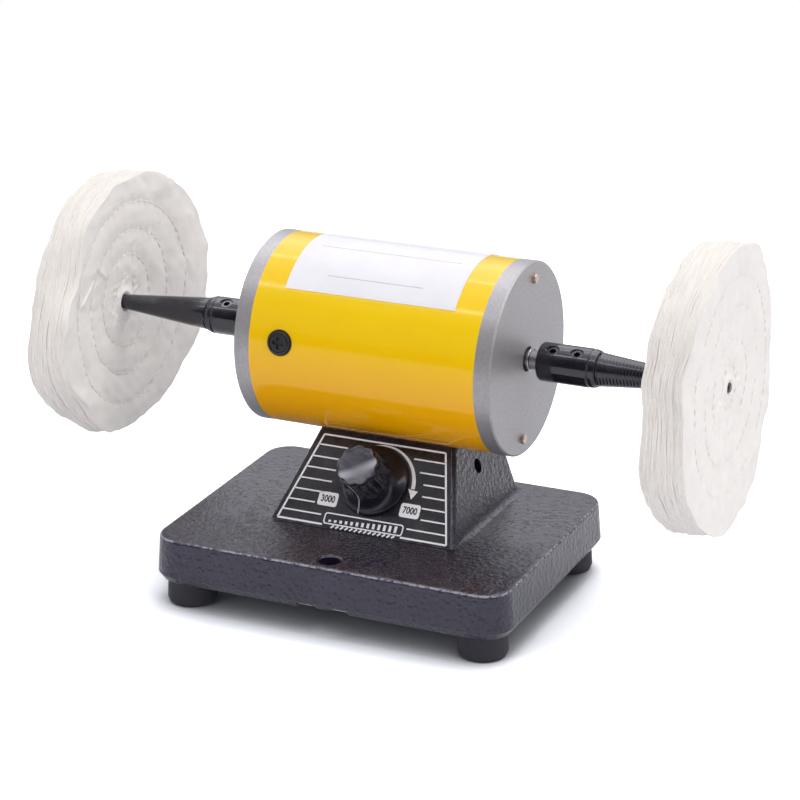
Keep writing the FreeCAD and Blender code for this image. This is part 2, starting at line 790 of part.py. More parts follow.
def heat_sink():
    """Finned block behind the power transistor."""
    width, depth, height = sink_size
    back_y = sink_at[1] - depth / 2 + sink_back_t / 2
    shape = box((width, sink_back_t, height), (sink_at[0], back_y), board_top)
    for i in range(fin_count):
        x = sink_at[0] + (i / (fin_count - 1) - 0.5) * (width - fin_t)
        shape = shape.fuse(box((fin_t, depth, height), (x, sink_at[1]), board_top))
    return shape.removeSplitter()


def power_transistor():
    """Transistor with its tab against the heat sink, on three legs."""
    width, depth, _ = transistor_size
    x, y = sink_at[0], sink_at[1] - sink_size[1] / 2 - depth / 2
    low = board_top + leg_size[2]
    tab_y = y + (depth - transistor_tab_t) / 2
    body = box(transistor_size, (x, y), low)
    tab = box((width, transistor_tab_t, transistor_tab_h), (x, tab_y), low)
    legs = [box(leg_size, (x + i * leg_step, y), board_top) for i in (-1, 0, 1)]
    return body.multiFuse([tab] + legs)


def rectifier():
    """Bridge rectifier with one corner cut off."""
    width, depth, height = rectifier_size
    notch = box((depth / 2, depth, depth / 2), (rectifier_at[0] - width / 2, rectifier_at[1]),
                board_top + height - depth / 2)
    return box(rectifier_size, rectifier_at, board_top).cut(notch)


def terminal_points():
    """Screw centres along the terminal block."""
    step = terminal_size[0] / 4
    return [Vector(terminal_at[0] + (i - 1.5) * step, terminal_at[1], board_top + terminal_size[2])
            for i in range(4)]


def terminal_block():
    """Block of four screw terminals."""
    block = box(terminal_size, terminal_at, board_top)
    wells = [rod(well_r, p - Z * well_depth, p) for p in terminal_points()]
    return block.cut(Part.makeCompound(wells))


def fuse_and_clips():
    """Glass fuse held in two clips."""
    centre = Vector(fuse_at[0], fuse_at[1], board_top + fuse_r + fuse_up)
    glass = rod(fuse_r, centre - X * fuse_l / 2, centre + X * fuse_l / 2)
    clips = []
    for sx in (-1, 1):
        at = (fuse_at[0] + sx * (fuse_l / 2 - fuse_clip_w / 2), fuse_at[1])
        clip = box((fuse_clip_w, 2 * (fuse_r + fuse_clip_wall), 2 * fuse_r + fuse_up / 2), at, board_top)
        clips.append(clip.cut(rod(fuse_r + fit, centre - X * fuse_l, centre + X * fuse_l)))
    return Part.makeCompound([glass] + clips)


def pot_leads():
    """Three leads from the potentiometer's tabs to the circuit board."""
    knob_place = panel_place.multiply(Placement(Vector(0, knob_s, 0), Rotation()))
    leads = []
    for i in (-1, 0, 1):
        tip = knob_place.multVec(Vector(i * pot_lead_step, -pot_r - pot_tab_l, -panel_wall - pot_tab_back))
        bend = tip - panel_place.Rotation.multVec(Y) * pot_lead_start
        landing = Vector(tip.x, pot_lead_y, board_top)
        halfway = Vector(tip.x, bend.y, (bend.z + board_top) / 2)
        points = [tip, bend, halfway, landing + Z * pot_lead_start, landing]
        leads.append(tube_path(points, pot_lead_r))
    return Part.makeCompound(leads)


def motor_leads():
    """Two insulated leads: up through the saddle, along the tube wall and onto the brush holders."""
    wire_r = tube_in_r - lead_r - lead_wall_gap
    entry_deg = 180 + math.degrees(math.acos(lead_hole_y / wire_r))
    wells = terminal_points()
    leads = []
    for i, brush_deg in enumerate((360 + clock_deg, 180 + clock_deg)):
        x = lead_hole_x + (i - 0.5) * lead_spacing
        start = wells[i] - Z * lead_in_well
        entry = at_angle(x, wire_r, entry_deg)
        turn_point = Vector(x, entry.y, ped_ceiling - lead_straight)
        riser = tube_path([start, start + Z * lead_straight, turn_point, entry], lead_r)
        circle = Part.Circle(entry, ray_from_axis(entry_deg).cross(X), lead_r)
        section = Part.Face(Part.Wire(circle.toShape()))
        arc = section.revolve(axis_point, X, entry_deg - brush_deg)
        corner = at_angle(x, wire_r, brush_deg)
        run = rod(lead_r, corner, at_angle(brush_x + holder_r, wire_r, brush_deg))
        joints = [Part.makeSphere(lead_r, p) for p in (entry, corner)]
        leads.append(riser.multiFuse([arc, run] + joints))
    return Part.makeCompound(leads)


# ---------------------------------------------------------------- motor
def motor_housing():
    """Steel tube with its brush, screw and lead holes."""
    tube = bar_on_axis(motor_r, -tube_half, tube_half).cut(bar_on_axis(tube_in_r, -tube_half, tube_half))
    outside = motor_r + tube_wall
    holes = [rod(holder_r + fit, at_angle(brush_x, holder_in_r, deg), at_angle(brush_x, outside, deg))
             for deg in (clock_deg, 180 + clock_deg)]
    for sx in (-1, 1):
        seat = Vector(sx * motor_screw_x, axis_y, ped_ceiling)
        holes.append(rod(motor_screw_r + fit, seat, seat + Z * motor_r / 2))
    lead_seat = Vector(lead_hole_x, axis_y + lead_hole_y, ped_ceiling)
    holes.append(rod(lead_hole_r, lead_seat, lead_seat + Z * motor_r / 2))
    return tube.cut(Part.makeCompound(holes))


def end_plate(side):
    """End plate with its spigot, bearing pocket and bolt holes; side is 1 on the right."""
    spigot_x = tube_half - spigot_l
    recess_r, floor_x = tube_in_r - recess_in, spigot_x + plate_recess
    points = [(plate_x, plate_hole_r), (plate_x, motor_r - plate_round), (plate_x - plate_round, motor_r),
              (tube_half, motor_r), (tube_half, tube_in_r - fit), (spigot_x, tube_in_r - fit),
              (spigot_x, recess_r), (floor_x, recess_r), (floor_x, bearing_boss_r),
              (boss_x, bearing_boss_r), (boss_x, bearing_r + fit), (pocket_x, bearing_r + fit),
              (pocket_x, plate_hole_r)]
    plate = turned([(side * x, r) for x, r in points])
    hole_r = bolt_r + (fit if side > 0 else screw_play)
    for deg in bolt_angles():
        plate = plate.cut(rod(hole_r, at_angle(side * boss_x, bolt_circle_r, deg),
                              at_angle(side * plate_x, bolt_circle_r, deg)))
    return plate


def bolt_angles():
    """The two through bolts sit between the magnets."""
    return (90 + clock_deg, 270 + clock_deg)


def through_bolts():
    """Long bolts: heads on the left plate, ends standing out of the right one."""
    bolts = []
    for deg in bolt_angles():
        bolt = rod(bolt_r, at_angle(-plate_x - bolt_head_t, bolt_circle_r, deg),
                   at_angle(plate_x + bolt_proud, bolt_circle_r, deg))
        end = [e for e in bolt.Edges if e.BoundBox.XMin > plate_x]
        bolt = bolt.makeFillet(bolt_end_round, end)
        bolt = bolt.fuse(rod(bolt_head_r, at_angle(-plate_x - bolt_head_t, bolt_circle_r, deg),
                             at_angle(-plate_x, bolt_circle_r, deg)))
        centre = at_angle(-plate_x - bolt_head_t, bolt_circle_r, deg)
        slot = Part.makeBox(bolt_head_t / 2, bolt_head_r * 2, bolt_slot_w,
                            centre - Vector(0, bolt_head_r, bolt_slot_w / 2))
        bolts.append(bolt.cut(slot))
    return Part.makeCompound(bolts)


def magnet(centre_deg):
    """Arc magnet on the inside of the tube."""
    x = core_mid_x - magnet_length / 2
    ring = bar_on_axis(magnet_r_out, x, x + magnet_length)
    ring = ring.cut(bar_on_axis(magnet_r_in, x, x + magnet_length))
    return ring.common(sector(x, magnet_length, centre_deg, magnet_half_deg))


def bearing_ring(start, inner):
    """Inner or outer race of a bearing, with its ball groove."""
    low, high = (shaft_r + fit, shaft_r + race_wall) if inner else (bearing_r - race_wall, bearing_r)
    ring = turned([(start, low), (start, high), (start + bearing_w, high), (start + bearing_w, low)])
    groove = Part.makeTorus(ball_pitch_r, ball_r + ball_play, axis_point + X * (start + bearing_w / 2), X)
    return ring.cut(groove)


def bearing_balls(start):
    """Balls and the cage that spaces them."""
    mid = start + bearing_w / 2
    cage = bar_on_axis(ball_pitch_r + cage_t / 2, mid - cage_w / 2, mid + cage_w / 2)
    cage = cage.cut(bar_on_axis(ball_pitch_r - cage_t / 2, mid - cage_w / 2, mid + cage_w / 2))
    balls = []
    for i in range(ball_count):
        centre = at_angle(mid, ball_pitch_r, 360 * i / ball_count)
        balls.append(Part.makeSphere(ball_r, centre))
        cage = cage.cut(Part.makeSphere(ball_r + ball_play, centre))
    return Part.makeCompound(balls + cage.Solids)


def wave_washer():
    """Spring washer between the left end plate and its bearing."""
    low, high = -pocket_x, washer_t - pocket_x
    rim_r, bore_r = bearing_r - washer_play, plate_hole_r + race_wall
    return turned([(low, bore_r), (low, rim_r), (high, rim_r), (high, rim_r - washer_rim),
                   ((low + high) / 2, bore_r)])


def brush_slot(deg, play, low, high):
    """Rectangular bar along a brush's path, between two radii."""
    size_x, size_t = brush_l + 2 * play, brush_w + 2 * play
    bar = Part.makeBox(size_x, size_t, high - low, Vector(-size_x / 2, -size_t / 2, low))
    bar.Placement = Placement(Vector(brush_x, 0, 0) + axis_point, Rotation(X, Y, ray_from_axis(deg), "ZXY"))
    return bar


def brush_holder(deg):
    """Insulated brush holder pushed through the wall of the tube."""
    top = motor_r + holder_proud
    body = rod(holder_r, at_angle(brush_x, holder_in_r, deg), at_angle(brush_x, top, deg))
    body = body.cut(brush_slot(deg, brush_play, holder_in_r, top))
    plug_end = at_angle(brush_x, top - cap_plug_l, deg)
    return body.cut(rod(cap_thread_r + fit, plug_end, at_angle(brush_x, top, deg)))


def brush(deg):
    """Carbon brush, hollowed to the commutator."""
    bar = brush_slot(deg, 0, commutator_r / 2, brush_top_r)
    return bar.cut(bar_on_axis(commutator_r + brush_face_play, commutator_x, riser_end))


def brush_springs():
    """Coil springs between the brushes and their caps."""
    springs = []
    low = brush_top_r + spring_wire_r + spring_gap
    high = motor_r + holder_proud - cap_plug_l - spring_wire_r - spring_gap
    for deg in (clock_deg, 180 + clock_deg):
        helix = Part.makeHelix((high - low) / spring_turns, high - low, spring_coil_r)
        profile = Part.Wire(Part.Circle(Vector(spring_coil_r, 0, 0), Y, spring_wire_r).toShape())
        coil = Part.Wire(helix.Edges).makePipeShell([profile], True, True)
        coil.Placement = facing(at_angle(brush_x, low, deg), ray_from_axis(deg))
        springs.append(coil)
    return Part.makeCompound(springs)


def brush_cap(deg):
    """Slotted screw cap over a brush."""
    top = motor_r + holder_proud
    cap = rod(cap_thread_r, at_angle(brush_x, top - cap_plug_l, deg), at_angle(brush_x, top, deg))
    cap = cap.fuse(rod(cap_head_r, at_angle(brush_x, top, deg), at_angle(brush_x, top + cap_head_t, deg)))
    floor = facing(at_angle(brush_x, top + cap_head_t - cap_slot_d, deg), ray_from_axis(deg))
    for length, width in ((cap_slot_l, cap_slot_w), (cap_slot_w, cap_slot_l)):
        slot = Part.makeBox(length, width, cap_slot_d, Vector(-length / 2, -width / 2, 0))
        slot.Placement = floor
        cap = cap.cut(slot)
    return cap.removeSplitter()


def rating_sticker():
    """Bare label wrapped over the tube."""
    inside = motor_r + sticker_gap
    ring = bar_on_axis(inside + sticker_t, -sticker_half_l, sticker_half_l)
    ring = ring.cut(bar_on_axis(inside, -sticker_half_l, sticker_half_l))
    middle, half = (sticker_from_deg + sticker_to_deg) / 2, (sticker_to_deg - sticker_from_deg) / 2
    return ring.common(sector(-sticker_half_l, 2 * sticker_half_l, middle, half))


# ---------------------------------------------------------------- rotor
def motor_shaft():
    """Shaft with a thicker stretch between the bearings."""
    shoulder_left = left_bearing_x + bearing_w
    end_r = shaft_r - shaft_chamfer
    return turned([(-shaft_half, 0), (-shaft_half, end_r), (shaft_chamfer - shaft_half, shaft_r),
                   (shoulder_left, shaft_r), (shoulder_left, shoulder_r), (right_bearing_x, shoulder_r),
                   (right_bearing_x, shaft_r), (shaft_half - shaft_chamfer, shaft_r), (shaft_half, end_r),
                   (shaft_half, 0)])


def around(make):
    """One copy of a cutter for each armature slot, about the motor axis."""
    return [make().rotated(axis_point, X, 360 * i / slot_count) for i in range(slot_count)]


def slot_cutter(play, length_play):
    """One winding slot: a narrow mouth and a wide body."""
    x, length = core_x - length_play, core_length + 2 * length_play
    width = slot_w - 2 * play
    body = Part.makeBox(length, width, slot_depth - slot_lip - 2 * play,
                        Vector(x, -width / 2, core_r - slot_depth + play))
    if play:
        return on_axis(body)
    mouth = Part.makeBox(length, slot_mouth_w, 2 * slot_lip, Vector(x, -slot_mouth_w / 2, core_r - slot_lip))
    return on_axis(body.fuse(mouth))


def armature_core():
    """Slotted iron core, a slip fit on the shaft."""
    core = bar_on_axis(core_r, core_x, core_end).cut(bar_on_axis(shoulder_r + fit, core_x, core_end))
    return core.cut(Part.makeCompound(around(lambda: slot_cutter(0, 0))))


def armature_windings():
    """Coils lying in the slots, joined by the end turns."""
    ends = []
    bore_r = shoulder_r + winding_bore
    for start, end in ((core_x - winding_core_gap, riser_end),
                       (core_end + winding_core_gap, core_end + winding_core_gap + winding_end_l)):
        bulge = math.copysign(winding_end_l / 3, end - start)
        points = [(start, bore_r), (start, winding_r), (start + bulge, winding_r + winding_swell),
                  (start + 2 * bulge, winding_r - slot_depth / 3), (end, commutator_r + riser_h / 2),
                  (end, bore_r)]
        ends.append(turned(points))
    bars = around(lambda: slot_cutter(slot_play, 2 * winding_core_gap))
    return ends[0].multiFuse(ends[1:] + bars)


def commutator():
    """Copper ring cut into segments, with a raised rim where the coils are joined."""
    end, riser_r, bore_r = riser_end - riser_t, commutator_r + riser_h, shoulder_r + fit
    ring = turned([(commutator_x, bore_r), (commutator_x, commutator_r - segment_bevel),
                   (commutator_x + segment_bevel, commutator_r), (end, commutator_r), (end, riser_r),
                   (riser_end, riser_r), (riser_end, bore_r)])
    gaps = []
    for i in range(segment_count):
        gap = Part.makeBox(riser_end - commutator_x, segment_gap, segment_gap_depth + riser_h,
                           Vector(commutator_x, -segment_gap / 2, commutator_r - segment_gap_depth))
        gaps.append(on_axis(gap).rotated(axis_point, X, 360 * (i + 0.5) / segment_count))
    return ring.cut(Part.makeCompound(gaps))


def nose_radius(x):
    """Mean radius of the tapered nose at a distance from the middle."""
    return nose_root_r - nose_taper * max(0.0, x - nose_start)


def spindle(side):
    """Sleeve clamped on the shaft and the tapered nose cut with thread-like rings."""
    points = [(sleeve_start, shaft_r + fit), (sleeve_start, sleeve_r - sleeve_chamfer),
              (sleeve_start + sleeve_chamfer, sleeve_r), (sleeve_end - sleeve_chamfer, sleeve_r),
              (sleeve_end, sleeve_r - sleeve_chamfer), (sleeve_end, nose_root_r - nose_neck_in),
              (nose_start - nose_neck_in, nose_root_r - nose_neck_in)]
    x = nose_start
    while x + thread_pitch < nose_end - nose_tip_l:
        points.append((x, nose_radius(x)))
        points.append((x + thread_pitch / 2, nose_radius(x + thread_pitch / 2) - thread_depth))
        x += thread_pitch
    bore_end = shaft_half + shaft_end_gap
    points += [(x, nose_radius(x)), (nose_end - nose_tip_l, nose_tip_r),
               (nose_end, nose_tip_r - nose_tip_l), (nose_end, 0), (bore_end, 0), (bore_end, shaft_r + fit)]
    body = turned([(side * a, r) for a, r in points])
    for at in set_screw_xs:
        body = body.cut(rod(set_screw_r + fit, at_angle(side * at, 0, set_screw_deg[side]),
                            at_angle(side * at, sleeve_r, set_screw_deg[side])))
    return body


def spindle_screws():
    """Two socket set screws in each sleeve."""
    screws = []
    shaft = bar_on_axis(shaft_r + fit, -shaft_half, shaft_half)
    top_r = sleeve_r - set_screw_sunk
    for side in (-1, 1):
        deg = set_screw_deg[side]
        for at in set_screw_xs:
            screw = rod(set_screw_r, at_angle(side * at, shaft_r / 2, deg), at_angle(side * at, top_r, deg))
            floor = at_angle(side * at, top_r - set_screw_socket, deg)
            socket = hexagon(set_screw_hex, set_screw_socket, facing(floor, ray_from_axis(deg)))
            screws.append(screw.cut(shaft).cut(socket))
    return Part.makeCompound(screws)


def buff(side):
    """Stitched cloth buff as a plain disc with rounded edges and a tapered hole."""
    hole_in = nose_radius(buff_inner) + buff_hole_play
    hole_out = nose_tip_r + buff_hole_play
    corner = buff_edge * (1 - math.sqrt(0.5))
    points = [(buff_inner, hole_in), (buff_inner, buff_r - buff_edge),
              (buff_inner + corner, buff_r - corner), (buff_inner + buff_edge, buff_r),
              (buff_outer - buff_edge, buff_r), (buff_outer - corner, buff_r - corner),
              (buff_outer, buff_r - buff_edge), (buff_outer, hole_out)]
    return turned([(side * x, r) for x, r in points])


def main():
    os.makedirs("parts", exist_ok=True)
    save("base_casting", base_casting())
    save("bottom_cover", bottom_cover())
    for name, place in foot_places():
        save("foot_" + name, foot(place))
    save("foot_screws", foot_screws())
    save("cover_screws", cover_screws())
    save("motor_screws", motor_screws())
    save("cable_gland", cable_gland())
    save("gland_nut", gland_nut())
    save("speed_label", speed_label())
    save("pot_body", pot_body())
    save("pot_washer", pot_washer())
    save("pot_nut", pot_nut())
    save("pot_shaft", pot_shaft())
    save("control_knob", control_knob())
    save("circuit_board", circuit_board())
    save("board_standoffs", standoffs())
    save("board_screws", board_screws())
    save("capacitor", capacitor())
    save("heat_sink", heat_sink())
    save("power_transistor", power_transistor())
    save("rectifier", rectifier())
    save("terminal_block", terminal_block())
    save("fuse", fuse_and_clips())
    save("pot_leads", pot_leads())
    save("motor_leads", motor_leads())
    save("motor_housing", motor_housing())
    save("rating_sticker", rating_sticker())
    save("end_plate_left", end_plate(-1))
    save("end_plate_right", end_plate(1))
    save("through_bolts", through_bolts())
    save("magnet_front", magnet(clock_deg))
    save("magnet_rear", magnet(180 + clock_deg))
    for name, start in (("left", left_bearing_x), ("right", right_bearing_x)):
        save("bearing_" + name + "_outer", bearing_ring(start, False))
        save("bearing_" + name + "_inner", bearing_ring(start, True))
        save("bearing_" + name + "_balls", bearing_balls(start))
    save("wave_washer", wave_washer())
    for name, deg in (("front", clock_deg), ("rear", 180 + clock_deg)):
        save("brush_holder_" + name, brush_holder(deg))
        save("brush_" + name, brush(deg))
        save("brush_cap_" + name, brush_cap(deg))
    save("brush_springs", brush_springs())
    save("motor_shaft", motor_shaft())
    save("armature_core", armature_core())
    save("armature_windings", armature_windings())
    save("commutator", commutator())
    for name, side in (("left", -1), ("right", 1)):
        save("spindle_" + name, spindle(side))
        save("buff_" + name, buff(side))
    save("spindle_screws", spindle_screws())


main()
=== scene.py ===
"""Looks for a two-ended bench polishing lathe. Metres, +Z up, spindle along X."""

import logging
import math
from dataclasses import dataclass, field
from enum import Enum
from functools import reduce
from typing import Any, Callable, Optional, Sequence

import bmesh
import bpy
import numpy as np
from mathutils import Matrix, Vector


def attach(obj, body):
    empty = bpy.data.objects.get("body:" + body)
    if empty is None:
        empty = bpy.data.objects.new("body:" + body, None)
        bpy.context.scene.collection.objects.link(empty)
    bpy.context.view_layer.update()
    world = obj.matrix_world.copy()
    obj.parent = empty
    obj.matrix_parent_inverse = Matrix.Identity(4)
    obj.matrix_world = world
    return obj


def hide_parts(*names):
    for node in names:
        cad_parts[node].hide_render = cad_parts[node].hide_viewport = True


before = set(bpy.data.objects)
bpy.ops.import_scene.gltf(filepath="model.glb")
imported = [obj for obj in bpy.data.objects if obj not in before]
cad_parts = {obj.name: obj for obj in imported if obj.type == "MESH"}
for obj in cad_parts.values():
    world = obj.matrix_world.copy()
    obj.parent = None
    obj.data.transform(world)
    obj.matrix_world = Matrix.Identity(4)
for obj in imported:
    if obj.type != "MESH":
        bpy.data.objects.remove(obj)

log = logging.getLogger("lathe")
MM = 0.001
TAU = 2 * math.pi
AXIS = (0.0, 0.01065, 0.10045)          # a point on the spindle's axis
PLATE_FOOT = (0.0, -0.0303, 0.0302)     # middle of the sloping plate's lower edge
PLATE_WAY = (0.0, -0.7760, 0.6307)      # the plate's normal
Colour = tuple[float, float, float, float]
Socket = bpy.types.NodeSocket


# ---------------------------------------------------------------- colours and node trees
def rgb(red: float, green: float, blue: float) -> Colour:
    """Linear colour from 8-bit screen values, by the sRGB curve.

    Args:
        red: red, 0 to 255.
        green: green, 0 to 255.
        blue: blue, 0 to 255.

    Returns:
        The colour, opaque.
    """
    parts = [value / 255 for value in (red, green, blue)]
    linear = [p / 12.92 if p <= 0.04045 else ((p + 0.055) / 1.055) ** 2.4 for p in parts]
    return (linear[0], linear[1], linear[2], 1.0)


class Graph:
    """Writes nodes and links into one node tree."""

    def __init__(self, tree: bpy.types.NodeTree) -> None:
        """Start from an empty tree."""
        self.tree = tree
        tree.nodes.clear()

    def add(self, kind: str, feeds: Optional[dict[Any, Any]] = None, **settings: Any) -> bpy.types.Node:
        """Add a node.

        Args:
            kind: node type, without the "ShaderNode" in front.
            feeds: values or sockets for its inputs, by name or number.
            settings: the node's own properties.

        Returns:
            The new node.
        """
        node = self.tree.nodes.new("ShaderNode" + kind)
        for name, value in settings.items():
            setattr(node, name, value)
        for key, value in (feeds or {}).items():
            if isinstance(value, Socket):
                self.tree.links.new(value, node.inputs[key])
            else:
                node.inputs[key].default_value = value
        return node

    def maths(self, operation: str, a: Any, b: Any = 0.0, clamp: bool = False) -> Socket:
        """Result of one operation on two numbers."""
        return self.add("Math", {0: a, 1: b}, operation=operation, use_clamp=clamp).outputs[0]

    def product(self, *factors: Any) -> Socket:
        """Product of numbers."""
        return reduce(lambda a, b: self.maths("MULTIPLY", a, b), factors)

    def total(self, *terms: Any) -> Socket:
        """Sum of numbers."""
        return reduce(lambda a, b: self.maths("ADD", a, b), terms)

    def vector(self, operation: str, a: Any, b: Any = (0.0, 0.0, 0.0)) -> Socket:
        """Result of one operation on two vectors; a number where the operation gives one."""
        node = self.add("VectorMath", {0: a, 1: b}, operation=operation)
        return node.outputs["Value" if operation in ("DOT_PRODUCT", "LENGTH") else "Vector"]

    def scaled(self, a: Any, factor: Any) -> Socket:
        """A vector times a number."""
        return self.add("VectorMath", {0: a, "Scale": factor}, operation="SCALE").outputs[0]

    def parts(self, a: Any) -> tuple[Socket, ...]:
        """The three parts of a vector."""
        return tuple(self.add("SeparateXYZ", {0: a}).outputs)

    def mix(self, factor: Any, a: Any, b: Any) -> Socket:
        """Mix of two colours."""
        return self.add("Mix", {0: factor, 6: a, 7: b}, data_type="RGBA").outputs[2]

    def span(self, value: Any, low: float, high: float, to_low: float = 0.0, to_high: float = 1.0) -> Socket:
        """Smooth step of a value from one range to another."""
        feeds = {0: value, 1: low, 2: high, 3: to_low, 4: to_high}
        return self.add("MapRange", feeds, interpolation_type="SMOOTHSTEP").outputs[0]

    def fade(self, value: Any, low: float, high: float, from_level: float = 1.0) -> Socket:
        """Smooth step of a value down to 0."""
        return self.span(value, low, high, from_level, 0.0)

    def noise(self, place: Any, scale: Any, detail: float = 2.0, roughness: float = 0.5) -> Socket:
        """Noise value at a place."""
        feeds = {"Vector": place, "Scale": scale, "Detail": detail, "Roughness": roughness}
        return self.add("TexNoise", feeds).outputs[0]

    def place(self) -> Socket:
        """Position in the object's own frame."""
        return self.add("TexCoord").outputs["Object"]

    def shifted(self, scale: float, reach: float) -> Socket:
        """Position moved about by noise."""
        noise = self.add("TexNoise", {"Vector": self.place(), "Scale": scale}).outputs["Color"]
        return self.vector("ADD", self.place(), self.scaled(noise, reach))

    def normal(self, kind: str = "Normal") -> Socket:
        """The surface's normal, before any bump."""
        return self.add("NewGeometry").outputs[kind]

    def up(self) -> Socket:
        """How far the surface looks up: 1 on a floor, 0 on a wall."""
        return self.parts(self.normal())[2]

    def shared(self, maker: Callable[[], bpy.types.NodeTree], feeds: dict[str, Any]) -> Any:
        """Outputs of a shared group that is placed with its own values."""
        return self.add("Group", feeds, node_tree=maker()).outputs


def group_tree(name: str, inputs: dict[str, Any], outputs: Sequence[str],
               build: Callable[[Graph, bpy.types.Node], dict[str, Socket]]) -> bpy.types.NodeTree:
    """Make a shader group once and give it back after that.

    Args:
        name: the group's name.
        inputs: default value of each input; a tuple makes a vector.
        outputs: names of the outputs, all numbers.
        build: writes the nodes and returns the socket behind each output.

    Returns:
        The group's tree.
    """
    known = bpy.data.node_groups.get(name)
    if known:
        return known
    tree = bpy.data.node_groups.new(name, "ShaderNodeTree")
    for key, value in inputs.items():
        kind = "NodeSocketVector" if isinstance(value, tuple) else "NodeSocketFloat"
        socket = tree.interface.new_socket(name=key, in_out="INPUT", socket_type=kind)
        socket.default_value = value
    for key in outputs:
        tree.interface.new_socket(name=key, in_out="OUTPUT", socket_type="NodeSocketFloat")
    graph = Graph(tree)
    entry, leave = tree.nodes.new("NodeGroupInput"), tree.nodes.new("NodeGroupOutput")
    for key, socket in build(graph, entry).items():
        tree.links.new(socket, leave.inputs[key])
    return tree


def surface_grain() -> bpy.types.NodeTree:
    """Fine grain and slow drift of tone.

    Returns:
        The group's tree.
    """
    def build(g: Graph, entry: bpy.types.Node) -> dict[str, Socket]:
        """Write one noise for the grain and a wide one for the tone.

        Args:
            g: the group's graph.
            entry: node that gives the group's inputs.

        Returns:
            Socket behind each output.
        """
        fine, slow = (g.noise(g.scaled(g.place(), g.maths("DIVIDE", 1.0, entry.outputs[size])), 1.0, 3.0, roughness)
                      for size, roughness in (("Grain", 0.6), ("Drift", 0.55)))
        return {"Height": fine, "Tone": g.span(slow, 0.3, 0.7)}
    return group_tree("Surface grain", {"Grain": 0.0004, "Drift": 0.012}, ("Height", "Tone"), build)


def turned_lay() -> bpy.types.NodeTree:
    """Fine rings about the spindle's axis, as a lathe tool leaves them.

    Returns:
        The group's tree.
    """
    def build(g: Graph, entry: bpy.types.Node) -> dict[str, Socket]:
        """Write a noise along the radius, with a slow wander.

        Args:
            g: the group's graph.
            entry: node that gives the group's inputs.

        Returns:
            Socket behind each output.
        """
        from_axis = g.vector("MULTIPLY", g.vector("SUBTRACT", g.place(), AXIS), (0.0, 1.0, 1.0))
        radius = g.maths("DIVIDE", g.vector("LENGTH", from_axis), entry.outputs["Pitch"])
        wander = g.product(g.noise(from_axis, 90.0, 1.0), 0.7)
        rings = g.add("TexNoise", {"W": g.total(radius, wander), "Scale": 1.0, "Detail": 3.0},
                      noise_dimensions="1D").outputs[0]
        sweep = g.noise(from_axis, 26.0, 1.0)
        return {"Height": rings, "Tone": g.span(g.total(g.product(rings, 0.6), sweep), 0.6, 1.0)}
    return group_tree("Turned lay", {"Pitch": 0.0005}, ("Height", "Tone"), build)


def edge_wear_and_glint() -> bpy.types.NodeTree:
    """Mask that is 1 along outside edges, broken up by noise: real wear on some finishes, a painted edge highlight on
    others.

    Returns:
        The group's tree.
    """
    def build(g: Graph, entry: bpy.types.Node) -> dict[str, Socket]:
        """Compare the surface's normal with a rounded one.

        Args:
            g: the group's graph.
            entry: node that gives the group's inputs.

        Returns:
            Socket behind each output.
        """
        soft = g.add("Bevel", {"Radius": entry.outputs["Radius"]}, samples=6).outputs[0]
        bend = g.maths("SUBTRACT", 1.0, g.vector("DOT_PRODUCT", soft, g.normal()))
        patch = g.noise(g.place(), g.maths("DIVIDE", 1.0, entry.outputs["Patch"]), 3.0, 0.6)
        return {"Mask": g.maths("MULTIPLY", g.span(bend, 0.02, 0.12), g.span(patch, 0.35, 0.65), clamp=True)}
    return group_tree("Edge wear", {"Radius": 0.0006, "Patch": 0.004}, ("Mask",), build)


def upward_dust_and_sheen() -> bpy.types.NodeTree:
    """Mask on faces that look up, in loose patches: dust on most finishes, a painted highlight along the oxide
    steel's top.

    Returns:
        The group's tree.
    """
    def build(g: Graph, entry: bpy.types.Node) -> dict[str, Socket]:
        """Write specks and clouds where the surface looks up.

        Args:
            g: the group's graph.
            entry: node that gives the group's inputs.

        Returns:
            Socket behind each output.
        """
        specks = g.span(g.noise(g.place(), 900.0, 2.0, 0.7), 0.5, 0.72)
        clouds = g.span(g.noise(g.place(), 60.0, 3.0, 0.6), 0.4, 0.75)
        held = g.product(g.total(g.product(specks, 0.6), clouds), g.span(g.up(), 0.1, 0.9))
        return {"Mask": g.maths("MULTIPLY", held, entry.outputs["Amount"], clamp=True)}
    return group_tree("Settled dust", {"Amount": 0.3}, ("Mask",), build)


def plain_weave() -> bpy.types.NodeTree:
    """Two crossing sets of threads in the plane across the spindle, with slubs.

    Returns:
        The group's tree.
    """
    def build(g: Graph, entry: bpy.types.Node) -> dict[str, Socket]:
        """Write two crossing waves and the slubs over them.

        Args:
            g: the group's graph.
            entry: node that gives the group's inputs.

        Returns:
            Socket behind each output.
        """
        _, y, z = g.parts(g.shifted(120.0, 0.0012))
        turn = g.maths("DIVIDE", TAU, entry.outputs["Pitch"])
        over = g.product(*(g.maths("SINE", g.product(way, turn)) for way in (y, z)))
        slub = g.noise(g.vector("MULTIPLY", g.place(), (1.0, 0.25, 1.0)), 700.0, 3.0, 0.7)
        return {"Height": g.total(g.product(over, 0.35), slub), "Tone": g.span(slub, 0.3, 0.7)}
    return group_tree("Plain weave", {"Pitch": 0.0005}, ("Height", "Tone"), build)


# ---------------------------------------------------------------- finishes
class Lay(Enum):
    """Which way the fine marks of a surface run."""
    NONE = "none"
    TURNED = "turned"


